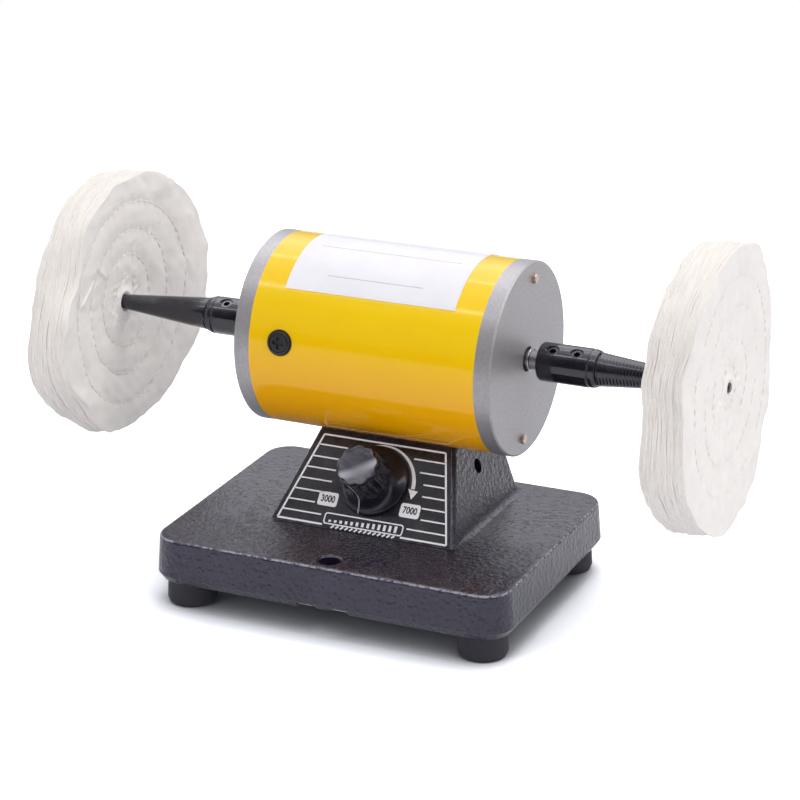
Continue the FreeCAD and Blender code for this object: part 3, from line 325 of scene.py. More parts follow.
@dataclass(frozen=True)
class Finish:
    """A surface with grain, a drift of colour, lighter edges and an upward mask. The edges stand for wear and for
    painted edge highlights, and the upward mask for dust and for a painted highlight. Lengths are in millimetres.
    """
    colour: Colour
    tint: Colour
    drift: float = 0.5
    drift_size: float = 12.0
    roughness: float = 0.5
    rough_drift: float = 0.1
    metallic: float = 0.0
    grain: float = 0.4
    relief: float = 0.02
    lay: Lay = Lay.NONE
    wear_and_glint: float = 0.0
    worn_and_lit: Colour = (0.5, 0.5, 0.5, 1.0)
    wear_and_glint_radius: float = 0.5
    dust_and_sheen: float = 0.0
    dust_and_sheen_colour: Colour = (0.35, 0.34, 0.33, 1.0)
    coat: float = 0.0
    coat_roughness: float = 0.1
    sheen: float = 0.0
    specular: float = 0.5
    dust_rough: float = 0.4              # how much rougher the surface is under the upward mask

    def marks(self, g: Graph) -> tuple[Socket, Socket]:
        """Height and tone of the fine marks.

        Args:
            g: the material's graph.

        Returns:
            Their height, and their tone from 0 to 1.
        """
        if self.lay is Lay.TURNED:
            found = g.shared(turned_lay, {"Pitch": self.grain * MM})
        else:
            found = g.shared(surface_grain, {"Grain": self.grain * MM, "Drift": self.drift_size * MM})
        return found["Height"], found["Tone"]

    def pattern(self, g: Graph, colour: Socket, height: Socket) -> tuple[Socket, Socket]:
        """What a special finish adds to colour and height."""
        return colour, height

    def material(self, name: str) -> bpy.types.Material:
        """Build the material.

        Args:
            name: the material's name.

        Returns:
            A new material.
        """
        made = bpy.data.materials.new(name)
        made.use_nodes = True
        g = Graph(made.node_tree)
        height, tone = self.marks(g)
        colour = g.mix(g.product(tone, self.drift), self.colour, self.tint)
        colour, height = self.pattern(g, colour, height)
        swing = self.rough_drift / 2
        rough = g.span(tone, 0.0, 1.0, self.roughness - swing, self.roughness + swing)
        # lighter edges: wear on most finishes, painted edge highlights on the oxide steel and the hammered paint
        if self.wear_and_glint:
            mask = g.shared(edge_wear_and_glint, {"Radius": self.wear_and_glint_radius * MM})["Mask"]
            colour = g.mix(g.product(mask, self.wear_and_glint), colour, self.worn_and_lit)
        # upward mask: dust on most finishes, a painted highlight along the oxide steel's top
        if self.dust_and_sheen:
            mask = g.shared(upward_dust_and_sheen, {"Amount": self.dust_and_sheen})["Mask"]
            colour = g.mix(mask, colour, self.dust_and_sheen_colour)
            rough = g.maths("ADD", rough, g.product(mask, self.dust_rough), clamp=True)
        bump = g.add("Bump", {"Height": height, "Distance": self.relief * MM, "Strength": 1.0})
        shader = g.add("BsdfPrincipled", {
            "Base Color": colour, "Roughness": rough, "Normal": bump.outputs[0], "Metallic": self.metallic,
            "Coat Weight": self.coat, "Coat Roughness": self.coat_roughness, "Sheen Weight": self.sheen,
            "Specular IOR Level": self.specular})
        g.add("OutputMaterial", {0: shader.outputs[0]})
        return made


@dataclass(frozen=True)
class HammeredPaint(Finish):
    """Stoved hammer paint: lumps and pits, strong on faces that look up and weak on walls.

    The plinth's top runs smoother towards the rear, and the edge of its top carries a painted highlight, broken into
    glints. Places are in metres.
    """
    lump: float = 2.4                    # size of a lump, in millimetres
    small_lumps: float = 2.1             # how many times finer the small lumps are
    small_height: float = 0.45           # their height, as a share of the large ones'
    wall_lumps: float = 0.42             # how much of the lumps a wall keeps
    wall_pits: float = 0.20              # how much of the pits a wall keeps
    pit_depth: float = 0.5
    pit_scale: float = 420.0
    facing: tuple[float, float] = (0.3, 0.9)         # how far up a wall and a floor look
    smooth: tuple[float, float] = (-0.046, 0.0)      # where the top gets smoother, front to rear
    rim: tuple[float, float] = (0.0285, 0.0301)      # heights between which the edge carries the painted highlight
    middle_y: float = -0.0087                        # middle of the plinth's top
    inside: tuple[float, float] = (0.070, 0.052)     # half the top, within its highlighted edge
    tilt: tuple[float, float, float, float] = (0.30, 0.55, 0.86, 0.97)   # how far up the highlighted edge looks
    # colour of the painted highlight on the top edge
    painted_highlight: Colour = (0.25, 0.24, 0.27, 1.0)
    # colour of the painted shade in the hollows and pits
    hollow_shade: Colour = (0.006, 0.006, 0.008, 1.0)

    def lumps(self, g: Graph) -> tuple[Socket, Socket]:
        """Hammered lumps in two sizes.

        Args:
            g: the material's graph.

        Returns:
            Height of both together, and the distance from the middle of a large one.
        """
        moved = g.shifted(300.0, 0.0016)
        large, small = (
            g.add("TexVoronoi", {"Vector": moved, "Scale": finer / (self.lump * MM), "Smoothness": smooth},
                  feature="SMOOTH_F1").outputs["Distance"]
            for finer, smooth in ((1.0, 0.6), (self.small_lumps, 0.5)))
        return g.total(g.fade(large, 0.1, 0.7), g.fade(small, 0.1, 0.7, self.small_height)), large

    def painted_edge_glint(self, g: Graph, up: Socket) -> Socket:
        """Mask of the painted highlight, broken into glints, round the edge of the plinth's top.

        Args:
            g: the material's graph.
            up: how far the surface looks up.

        Returns:
            The mask.
        """
        x, y, z = g.parts(g.place())
        low, high = self.rim
        band = g.product(g.span(z, low, low + 0.0006), g.fade(z, high - 0.0004, high))
        tilt = g.product(g.span(up, *self.tilt[:2]), g.fade(up, *self.tilt[2:]))
        specks = g.span(g.noise(g.place(), 520.0, 2.0, 0.6), 0.38, 0.60, 0.15, 1.0)
        ways = (x, g.maths("SUBTRACT", y, self.middle_y))
        outer = [g.span(g.maths("ABSOLUTE", way), half, half + 0.002) for way, half in zip(ways, self.inside)]
        return g.product(band, g.maths("MAXIMUM", *outer), tilt, specks)

    def pattern(self, g: Graph, colour: Socket, height: Socket) -> tuple[Socket, Socket]:
        """Lumps, pits, painted shade in the hollows and the painted highlight on the edge.

        Args:
            g: the material's graph.
            colour: the colour so far.
            height: the fine marks' height.

        Returns:
            The new colour and height.
        """
        up = g.up()
        lumps, large = self.lumps(g)
        patchy = g.product(g.span(g.parts(g.place())[1], *self.smooth, 1.0, 0.35),
                           g.span(g.noise(g.place(), 32.0, 2.0), 0.38, 0.62, 0.45, 1.0))
        flat = g.span(up, *self.facing, self.wall_pits, 1.0)
        pits = g.product(g.span(g.noise(g.place(), self.pit_scale, 2.0, 0.55), 0.60, 0.68), flat)
        level = g.maths("SUBTRACT", g.product(lumps, g.span(up, *self.facing, self.wall_lumps, patchy)),
                        g.product(pits, self.pit_depth))
        # painted shade: the hollows between the lumps and the pits are painted darker
        colour = g.mix(g.product(g.span(large, 0.45, 0.75), 0.40, flat), colour, self.hollow_shade)
        colour = g.mix(g.product(pits, 0.75), colour, self.hollow_shade)
        # painted highlight: glints along the edge of the plinth's top
        colour = g.mix(self.painted_edge_glint(g, up), colour, self.painted_highlight)
        return colour, g.total(level, g.product(height, 0.15))


@dataclass(frozen=True)
class TubeEnamel(Finish):
    """Glossy enamel with painted shade: a deeper, more orange tone towards the underside."""
    painted_shade: Colour = (0.8, 0.3, 0.0, 1.0)
    turning: tuple[float, float] = (-0.55, 0.75)     # how far up the tube looks where the painted shade starts and ends

    def pattern(self, g: Graph, colour: Socket, height: Socket) -> tuple[Socket, Socket]:
        """Painted shade: a deeper tone where the tube faces down."""
        wander = g.product(g.noise(g.place(), 40.0, 2.0), 0.2)
        return g.mix(g.fade(g.total(g.up(), wander), *self.turning), colour, self.painted_shade), height


@dataclass(frozen=True)
class KnobPlastic(Finish):
    """Moulded plastic whose end face carries painted light, a painted highlight streak and smudges (places in
    millimetres from the plate's foot).
    """
    painted_light: Colour = (0.3, 0.29, 0.33, 1.0)
    reach: tuple[float, float] = (20.2, 21.6)                    # where the end face starts, out from the plate
    slant: tuple[float, float, float] = (0.5, -0.549, -0.675)    # in the end face, across its painted highlight streak
    streak: tuple[float, float, float] = (-20.6, -17.8, -14.4)   # where the painted highlight streak starts, peaks and ends

    def pattern(self, g: Graph, colour: Socket, height: Socket) -> tuple[Socket, Socket]:
        """End face with painted light and a painted highlight streak, broken up by smudges.

        Args:
            g: the material's graph.
            colour: the colour so far.
            height: the fine marks' height.

        Returns:
            The new colour and height.
        """
        from_foot = g.vector("SUBTRACT", g.place(), PLATE_FOOT)
        out, across = (g.vector("DOT_PRODUCT", from_foot, way) for way in (PLATE_WAY, self.slant))
        end = g.span(out, *(value * MM for value in self.reach))
        facing = g.span(g.vector("DOT_PRODUCT", g.normal(), PLATE_WAY), 0.55, 0.95)
        starts, peaks, ends = (value * MM for value in self.streak)
        # painted highlight: a lighter streak across the end face
        painted_highlight = g.product(g.span(across, starts, peaks), g.fade(across, peaks, ends, 0.8))
        smudges = g.noise(g.vector("MULTIPLY", g.place(), (0.35, 1.0, 1.0)), 210.0, 3.0, 0.6)
        worn_and_lit = g.maths("ADD", painted_highlight, g.span(smudges, 0.40, 0.62, 0.10, 0.26), clamp=True)
        # painted light on the end face, with smudges mixed in
        return g.mix(g.product(end, facing, worn_and_lit), colour, self.painted_light), height


@dataclass(frozen=True)
class BuffCotton(Finish):
    """Unbleached muslin: a plain weave that drifts in tone."""
    weave: float = 0.55

    def pattern(self, g: Graph, colour: Socket, height: Socket) -> tuple[Socket, Socket]:
        """Threads and slubs.

        Args:
            g: the material's graph.
            colour: the colour so far.
            height: the fine marks' height.

        Returns:
            The new colour and height.
        """
        cloth = g.shared(plain_weave, {"Pitch": self.weave * MM})
        colour = g.mix(g.product(cloth["Tone"], 0.35), colour, self.tint)
        return colour, g.total(cloth["Height"], g.product(height, 0.5))


@dataclass(frozen=True)
class DialPlate(Finish):
    """Printed sheet with bare metal at its cut edges and a slightly wavy gloss."""
    wave: float = 12.0                   # height of the long waves, as a multiple of the relief

    def pattern(self, g: Graph, colour: Socket, height: Socket) -> tuple[Socket, Socket]:
        """Bare edges and long waves.

        Args:
            g: the material's graph.
            colour: the colour so far.
            height: the fine marks' height.

        Returns:
            The new colour and height.
        """
        edge = g.fade(g.vector("DOT_PRODUCT", g.normal("True Normal"), PLATE_WAY), 0.7, 0.9)
        waves = g.noise(g.vector("MULTIPLY", g.place(), (0.22, 1.0, 1.0)), 150.0, 2.0, 0.5)
        return g.mix(edge, colour, self.worn_and_lit), g.total(height, g.product(waves, self.wave))


@dataclass(frozen=True)
class Banded(Finish):
    """Bands along the spindle: stacked sheets, wound wire or the metal ends of a glass tube."""
    step: float = 0.5
    band: Colour = (0.05, 0.05, 0.05, 1.0)
    share: float = 0.5

    def pattern(self, g: Graph, colour: Socket, height: Socket) -> tuple[Socket, Socket]:
        """Bands with a slight wander.

        Args:
            g: the material's graph.
            colour: the colour so far.
            height: the fine marks' height.

        Returns:
            The new colour and height.
        """
        along = g.parts(g.place())[0]
        wave = g.maths("SINE", g.total(g.product(along, TAU / (self.step * MM)), g.noise(g.place(), 400.0, 1.0)))
        return g.mix(g.product(g.span(wave, 0.2, 0.9), self.share), colour, self.band), g.total(height, wave)


@dataclass(frozen=True)
class BoardLaminate(Finish):
    """Circuit board: solder mask over straight tracks."""
    track: Colour = (0.02, 0.20, 0.07, 1.0)

    def pattern(self, g: Graph, colour: Socket, height: Socket) -> tuple[Socket, Socket]:
        """Tracks as blocks of a stretched pattern.

        Args:
            g: the material's graph.
            colour: the colour so far.
            height: the fine marks' height.

        Returns:
            The new colour and height.
        """
        cells = g.add("TexVoronoi", {"Vector": g.vector("MULTIPLY", g.place(), (1.0, 0.35, 1.0)), "Scale": 260.0},
                      distance="CHEBYCHEV").outputs["Distance"]
        line = g.span(cells, 0.25, 0.3)
        return g.mix(line, colour, self.track), g.total(height, line)


STEEL = rgb(196, 194, 196)
FINISHES: dict[str, Finish] = {
    # hammered paint: its light edges and the lighter edge of the top are painted highlights
    "hammered_paint": HammeredPaint(rgb(39, 35, 56), rgb(29, 26, 43), 0.7, 16.0, 0.17, 0.07, grain=0.5, relief=0.42,
                                    wear_and_glint=0.45, worn_and_lit=rgb(140, 136, 142), wear_and_glint_radius=0.7, dust_and_sheen=0.04,
                                    dust_and_sheen_colour=rgb(120, 116, 118), coat=0.25, coat_roughness=0.18, lump=2.2,
                                    painted_highlight=rgb(156, 153, 164)),
    "yellow_paint": TubeEnamel(rgb(246, 204, 0), rgb(242, 197, 0), 0.5, 30.0, 0.12, 0.03, grain=1.4, relief=0.005,
                               wear_and_glint=0.25, worn_and_lit=rgb(225, 190, 90), wear_and_glint_radius=0.25, specular=0.42,
                               painted_shade=rgb(247, 172, 0)),
    "satin_aluminium": Finish(rgb(172, 169, 170), rgb(152, 149, 152), 0.6, 0.9, 0.44, 0.08, metallic=0.55,
                              grain=0.3, relief=0.014, wear_and_glint=0.5, worn_and_lit=rgb(226, 224, 226), wear_and_glint_radius=0.3),
    # oxide steel: its pale upward mask is a painted highlight along the sleeve's top, and its light edges are painted
    # edge highlights
    "oxide_steel": Finish(rgb(22, 20, 31), rgb(29, 27, 40), 0.5, 5.0, 0.115, 0.04, grain=0.35, relief=0.004,
                          wear_and_glint=0.7, worn_and_lit=rgb(140, 138, 148), wear_and_glint_radius=0.45, dust_and_sheen=0.10,
                          dust_and_sheen_colour=rgb(186, 184, 194), specular=0.68),
    "bright_steel": Finish(STEEL, rgb(160, 158, 162), 0.5, 5.0, 0.24, 0.10, metallic=1.0, grain=0.3, relief=0.004,
                           lay=Lay.TURNED),
    "zinc_steel": Finish(rgb(176, 178, 184), rgb(150, 152, 160), 0.6, 6.0, 0.40, 0.16, metallic=1.0, relief=0.006,
                         wear_and_glint=0.3, worn_and_lit=rgb(215, 215, 218), dust_and_sheen=0.1),
    "passivated_steel": Finish(rgb(192, 166, 146), rgb(216, 200, 190), 0.7, 2.0, 0.34, 0.12, metallic=1.0, grain=0.3,
                               relief=0.01, wear_and_glint=0.5, worn_and_lit=rgb(236, 222, 212), wear_and_glint_radius=0.3),
    "foot_rubber": Finish(rgb(35, 32, 41), rgb(48, 45, 55), 0.5, 6.0, 0.62, 0.14, grain=0.35, relief=0.05, wear_and_glint=0.25,
                          worn_and_lit=rgb(90, 88, 90), dust_and_sheen=0.2, dust_and_sheen_colour=rgb(110, 106, 104)),
    "buff_cotton": BuffCotton(rgb(250, 245, 240), rgb(244, 236, 230), 0.45, 9.0, 0.92, 0.04, grain=0.8, relief=0.12,
                              sheen=0.25, specular=0.2),
    "black_plastic": Finish(rgb(30, 29, 32), rgb(40, 39, 42), 0.5, 6.0, 0.42, 0.14, grain=0.3, relief=0.012, wear_and_glint=0.3,
                            worn_and_lit=rgb(86, 84, 88), wear_and_glint_radius=0.3, dust_and_sheen=0.15),
    "knob_plastic": KnobPlastic(rgb(25, 22, 33), rgb(33, 30, 42), 0.5, 6.0, 0.22, 0.08, grain=0.4, relief=0.010,
                                wear_and_glint=0.35, worn_and_lit=rgb(90, 88, 98), wear_and_glint_radius=0.35, painted_light=rgb(172, 170, 184)),
    "printed_plate": DialPlate(rgb(29, 27, 35), rgb(39, 37, 46), 0.5, 14.0, 0.13, 0.05, grain=0.4, relief=0.010,
                               worn_and_lit=rgb(170, 168, 172), dust_and_sheen=0.08, specular=0.65),
    "sticker_paper": Finish(rgb(236, 234, 239), rgb(230, 227, 233), 0.6, 14.0, 0.42, 0.08, grain=0.5, relief=0.006,
                            specular=0.25),
    "faded_ink": Finish(rgb(176, 172, 178), rgb(196, 193, 198), 0.6, 5.0, 0.42, 0.08, grain=0.5, relief=0.004),
    "ferrite": Finish(rgb(52, 50, 52), rgb(66, 63, 66), 0.6, 3.0, 0.66, 0.1, grain=0.25, relief=0.02),
    "copper": Banded(rgb(190, 116, 72), rgb(150, 84, 50), 0.6, 4.0, 0.32, 0.14, metallic=1.0, grain=0.3, relief=0.006,
                     step=0.4, band=rgb(120, 66, 40), share=0.3),
    "winding_enamel": Banded(rgb(150, 72, 30), rgb(120, 52, 22), 0.6, 4.0, 0.30, 0.1, metallic=0.3, grain=0.5,
                             relief=0.12, step=0.6, band=rgb(70, 28, 12), share=0.7),
    "laminations": Banded(rgb(128, 128, 132), rgb(104, 104, 110), 0.6, 5.0, 0.45, 0.1, metallic=0.9, grain=0.4,
                          relief=0.02, step=0.5, band=rgb(60, 60, 64), share=0.8),
    "carbon": Finish(rgb(44, 43, 45), rgb(62, 60, 62), 0.6, 2.0, 0.5, 0.14, metallic=0.2, grain=0.3, relief=0.02),
    "board_laminate": BoardLaminate(rgb(18, 84, 44), rgb(14, 70, 36), 0.5, 10.0, 0.34, 0.08, grain=0.3, relief=0.01),
    "capacitor_sleeve": Finish(rgb(30, 36, 70), rgb(22, 26, 54), 0.5, 6.0, 0.28, 0.08, grain=0.5, relief=0.008,
                               coat=0.3),
    "epoxy": Finish(rgb(36, 35, 36), rgb(50, 48, 48), 0.5, 3.0, 0.55, 0.1, grain=0.25, relief=0.015),
    "terminal_plastic": Finish(rgb(28, 96, 62), rgb(22, 80, 50), 0.5, 5.0, 0.4, 0.1, grain=0.3, relief=0.01),
    "lead_red": Finish(rgb(176, 26, 22), rgb(140, 18, 16), 0.6, 5.0, 0.4, 0.1, grain=0.3, relief=0.01),
    "fuse_glass": Banded(rgb(214, 222, 220), rgb(190, 200, 200), 0.4, 4.0, 0.12, 0.04, metallic=0.0, grain=0.4,
                         relief=0.004, step=20.0, band=rgb(190, 190, 192), share=0.9, coat=0.6),
    "print_white": Finish(rgb(250, 249, 255), rgb(242, 241, 248), 0.6, 5.0, 0.5, 0.1, grain=0.3, relief=0.004),
    "pointer_grey": Finish(rgb(176, 174, 180), rgb(150, 148, 154), 0.6, 3.0, 0.4, 0.1, grain=0.3, relief=0.004),
    "print_black": Finish(rgb(26, 24, 26), rgb(48, 46, 48), 0.5, 3.0, 0.5, 0.1, grain=0.3, relief=0.004),
    "thread_cotton": Finish(rgb(246, 242, 237), rgb(234, 228, 221), 0.5, 3.0, 0.9, 0.05, grain=0.25, relief=0.05,
                            sheen=0.2, specular=0.2),
}
_made: dict[str, bpy.types.Material] = {}


def finish_material(name: str) -> bpy.types.Material:
    """Material of a named finish, built on first use.

    Args:
        name: name of the finish.

    Returns:
        The material, always the same one.
    """
    if name not in _made:
        _made[name] = FINISHES[name].material(name)
    return _made[name]


def dress(obj: bpy.types.Object, finish: str) -> None:
    """Give an object a finish.

    Args:
        obj: the object.
        finish: name of the finish.
    """
    if obj.material_slots:
        for held in obj.material_slots:
            held.material = finish_material(finish)
    else:
        obj.data.materials.append(finish_material(finish))


# ---------------------------------------------------------------- meshes
def placed(name: str, data: Any) -> bpy.types.Object:
    """Put a mesh, lamp, camera or text in the scene.

    Args:
        name: the object's name.
        data: what it shows.

    Returns:
        The new object.
    """
    obj = bpy.data.objects.new(name, data)
    bpy.context.scene.collection.objects.link(obj)
    return obj


def mesh_object(name: str, points: np.ndarray, faces: Sequence[Sequence[int]], smooth: bool = True
                ) -> bpy.types.Object:
    """Mesh object from points and faces.

    Args:
        name: object name.
        points: (n, 3) positions in metres.
        faces: corner numbers of each face.
        smooth: smooth shading.

    Returns:
        The new object.
    """
    data = bpy.data.meshes.new(name)
    data.from_pydata(np.asarray(points, float).reshape(-1, 3).tolist(), [], [list(f) for f in faces])
    data.validate()
    data.polygons.foreach_set("use_smooth", [smooth] * len(data.polygons))
    return placed(name, data)


def grid_faces(rows: int, columns: int, close_rows: bool, close_columns: bool) -> list[tuple[int, int, int, int]]:
    """Quads of a grid whose points run along the columns first.

    Args:
        rows: number of rows.
        columns: points in a row.
        close_rows: join the last row to the first.
        close_columns: join the last point of a row to its first.

    Returns:
        Corner numbers of each quad.
    """
    i = np.arange(rows if close_rows else rows - 1)[:, None]
    j = np.arange(columns if close_columns else columns - 1)[None, :]
    i2, j2 = (i + 1) % rows, (j + 1) % columns
    quads = np.stack([i * columns + j, i * columns + j2, i2 * columns + j2, i2 * columns + j], -1)
    return [tuple(q) for q in quads.reshape(-1, 4).tolist()]


def circle(count: int) -> np.ndarray:
    """Evenly spaced angles round a circle."""
    return np.arange(count) * TAU / count


class Heap:
    """Collects points and faces of several shapes for one mesh."""

    def __init__(self) -> None:
        """Start empty."""
        self.points: list[np.ndarray] = []
        self.faces: list[tuple[int, ...]] = []
        self.count = 0

    def add(self, points: np.ndarray, faces: Sequence[Sequence[int]]) -> None:
        """Add a shape.

        Args:
            points: its points in metres.
            faces: corner numbers, counted from its own first point.
        """
        flat = np.asarray(points, float).reshape(-1, 3)
        self.faces += [tuple(k + self.count for k in f) for f in faces]
        self.points.append(flat)
        self.count += len(flat)

    def grid(self, points: np.ndarray, close_rows: bool = False, close_columns: bool = True) -> None:
        """Add a (rows, columns, 3) grid."""
        self.add(points, grid_faces(points.shape[0], points.shape[1], close_rows, close_columns))

    def strand(self, path: np.ndarray, radius: float, sides: int) -> None:
        """Add a thin round strand with pointed ends.

        Args:
            path: (n, 3) points along its middle, in metres.
            radius: its largest radius in metres.
            sides: steps round it.
        """
        point = 0.12                    # how far each end stops short of a full point, in radians
        way = np.gradient(path, axis=0)
        way /= np.linalg.norm(way, axis=1)[:, None] + 1e-12
        first = np.cross(way, (0.31, 0.17, 0.93))
        first /= np.linalg.norm(first, axis=1)[:, None] + 1e-12
        second = np.cross(way, first)
        turn = circle(sides)[None, :, None]
        swell = np.sin(np.linspace(point, math.pi - point, len(path))) ** 0.4 * radius
        round_way = np.cos(turn) * first[:, None] + np.sin(turn) * second[:, None]
        self.grid(path[:, None] + swell[:, None, None] * round_way)

    def object(self, name: str, smooth: bool = True) -> bpy.types.Object:
        """The collected mesh as one object."""
        return mesh_object(name, np.concatenate(self.points), self.faces, smooth)


def about_spindle(x: Any, radius: Any, turn: Any) -> np.ndarray:
    """Points about the spindle.

    Args:
        x: millimetres along the spindle, from the middle of the machine.
        radius: millimetres from the axis.
        turn: angle in radians, from the rear upwards.

    Returns:
        (..., 3) points in metres.
    """
    y, z = AXIS[1] + radius * np.cos(turn) * MM, AXIS[2] + radius * np.sin(turn) * MM
    return np.stack(np.broadcast_arrays(x * MM, y, z), -1)


def spun(profile: Sequence[tuple[float, float]], side: int, segments: int) -> np.ndarray:
    """Grid of a profile turned about the spindle.

    Args:
        profile: (distance along the spindle, radius) pairs in millimetres.
        side: 1 for the right end, -1 for the left.
        segments: steps round the axis.

    Returns:
        (rows, columns, 3) points in metres.
    """
    turn = circle(segments) * side
    return np.stack([about_spindle(side * x, r, turn) for x, r in profile])


def ring_rows(rows: Sequence[tuple[Any, float]], turn: np.ndarray, middle_y: float = 0.0) -> np.ndarray:
    """Grid of rings round a line along Z.

    Args:
        rows: radius and height of each ring.
        turn: angles of its points.
        middle_y: how far along Y the line stands.

    Returns:
        (rows, columns, 3) points in the unit of the rows.
    """
    return np.stack([np.stack([r * np.cos(turn), middle_y + r * np.sin(turn), np.full(len(turn), z)], -1)
                     for r, z in rows])


def settled(obj: bpy.types.Object) -> bpy.types.Mesh:
    """A new mesh of an object as it shows, with its modifiers applied."""
    bpy.context.view_layer.update()
    return bpy.data.meshes.new_from_object(obj.evaluated_get(bpy.context.evaluated_depsgraph_get()))


def creased(obj: bpy.types.Object, angle_deg: float) -> bpy.types.Object:
    """Shade an object smooth but for its sharper edges.

    Args:
        obj: the object.
        angle_deg: least angle of an edge that stays sharp.

    Returns:
        The same object.
    """
    obj.data.polygons.foreach_set("use_smooth", [True] * len(obj.data.polygons))
    obj.data.set_sharp_from_angle(angle=math.radians(angle_deg))
    return obj


def cut_away(obj: bpy.types.Object, tool: bpy.types.Object) -> None:
    """Cut one closed mesh out of another.

    Args:
        obj: what is cut.
        tool: what is taken away; it is deleted.
    """
    for thing in (obj, tool):
        mesh = bmesh.new()
        mesh.from_mesh(thing.data)
        bmesh.ops.remove_doubles(mesh, verts=mesh.verts, dist=2e-6)
        bmesh.ops.recalc_face_normals(mesh, faces=mesh.faces)
        mesh.to_mesh(thing.data)
        mesh.free()
    cut = obj.modifiers.new("cut", "BOOLEAN")
    cut.operation, cut.solver, cut.object = "DIFFERENCE", "EXACT", tool
    data = settled(obj)
    obj.modifiers.clear()
    obj.data = data
    bpy.data.objects.remove(tool)


def ripple(turn: np.ndarray, rng: np.random.Generator, waves: range, size: float) -> np.ndarray:
    """Closed wavy line round a circle.

    Args:
        turn: angles in radians.
        rng: where its chance comes from.
        waves: counts of waves to the turn; more waves are lower.
        size: usual height.

    Returns:
        Height at each angle.
    """
    total = np.zeros_like(turn)
    for count in waves:
        total += np.cos(count * turn + rng.uniform(0, TAU)) * rng.uniform(0.4, 1.0) / math.sqrt(count)
    return total * size / math.sqrt(sum(0.28 / count for count in waves) + 1e-9) / 1.4


def crumple(y: np.ndarray, z: np.ndarray, rng: np.random.Generator, length: float, count: int = 14) -> np.ndarray:
    """Smooth bumpy field from plane waves that run every way.

    Args:
        y: first coordinate.
        z: second coordinate.
        rng: where its chance comes from.
        length: usual wavelength.
        count: number of waves.

    Returns:
        Height at each place, within about -1 to 1.
    """
    total = np.zeros_like(y)
    for _ in range(count):
        way, step = rng.uniform(0, TAU), TAU / (length * rng.uniform(0.7, 1.5))
        total += np.cos((y * math.cos(way) + z * math.sin(way)) * step + rng.uniform(0, TAU))
    return total / math.sqrt(count)


def ease(value: Any, low: Any, high: Any) -> Any:
    """Smooth step from 0 to 1."""
    t = np.clip((value - low) / (high - low), 0, 1)
    return t * t * (3 - 2 * t)


def finished(obj: bpy.types.Object, body: str, finish: str, replaces: Sequence[str] = ()
             ) -> bpy.types.Object:
    """Dress a piece, let it ride on its body and say what it stands for.

    Args:
        obj: the piece.
        body: body that it rides on.
        finish: name of its finish.
        replaces: nodes that it stands for.

    Returns:
        The same object.
    """
    dress(obj, finish)
    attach(obj, body)
    if replaces:
        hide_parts(*replaces)
    log.info("%s rides on %s, finish %s", obj.name, body, finish)
    return obj


def keep_shapes(finishes: dict[str, str]) -> None:
    """Dress nodes that keep their own shape.

    Args:
        finishes: names of the nodes for each finish, with spaces between.
    """
    for finish, nodes in finishes.items():
        for node in nodes.split():
            dress(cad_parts[node], finish)
            log.info("%s keeps its shape, finish %s", node, finish)


# ---------------------------------------------------------------- buffs
@dataclass
class Fold:
    """A crease in a cover: where it lies, which way it runs and how far it stands out (degrees, millimetres)."""
    at_deg: float
    radius: float
    way_deg: float
    length: float
    width: float
    height: float


@dataclass
class Lean:
    """A stretch of the rim that leans towards the motor: where, how wide and how far (degrees, millimetres)."""
    at_deg: float
    wide_deg: float
    reach: float


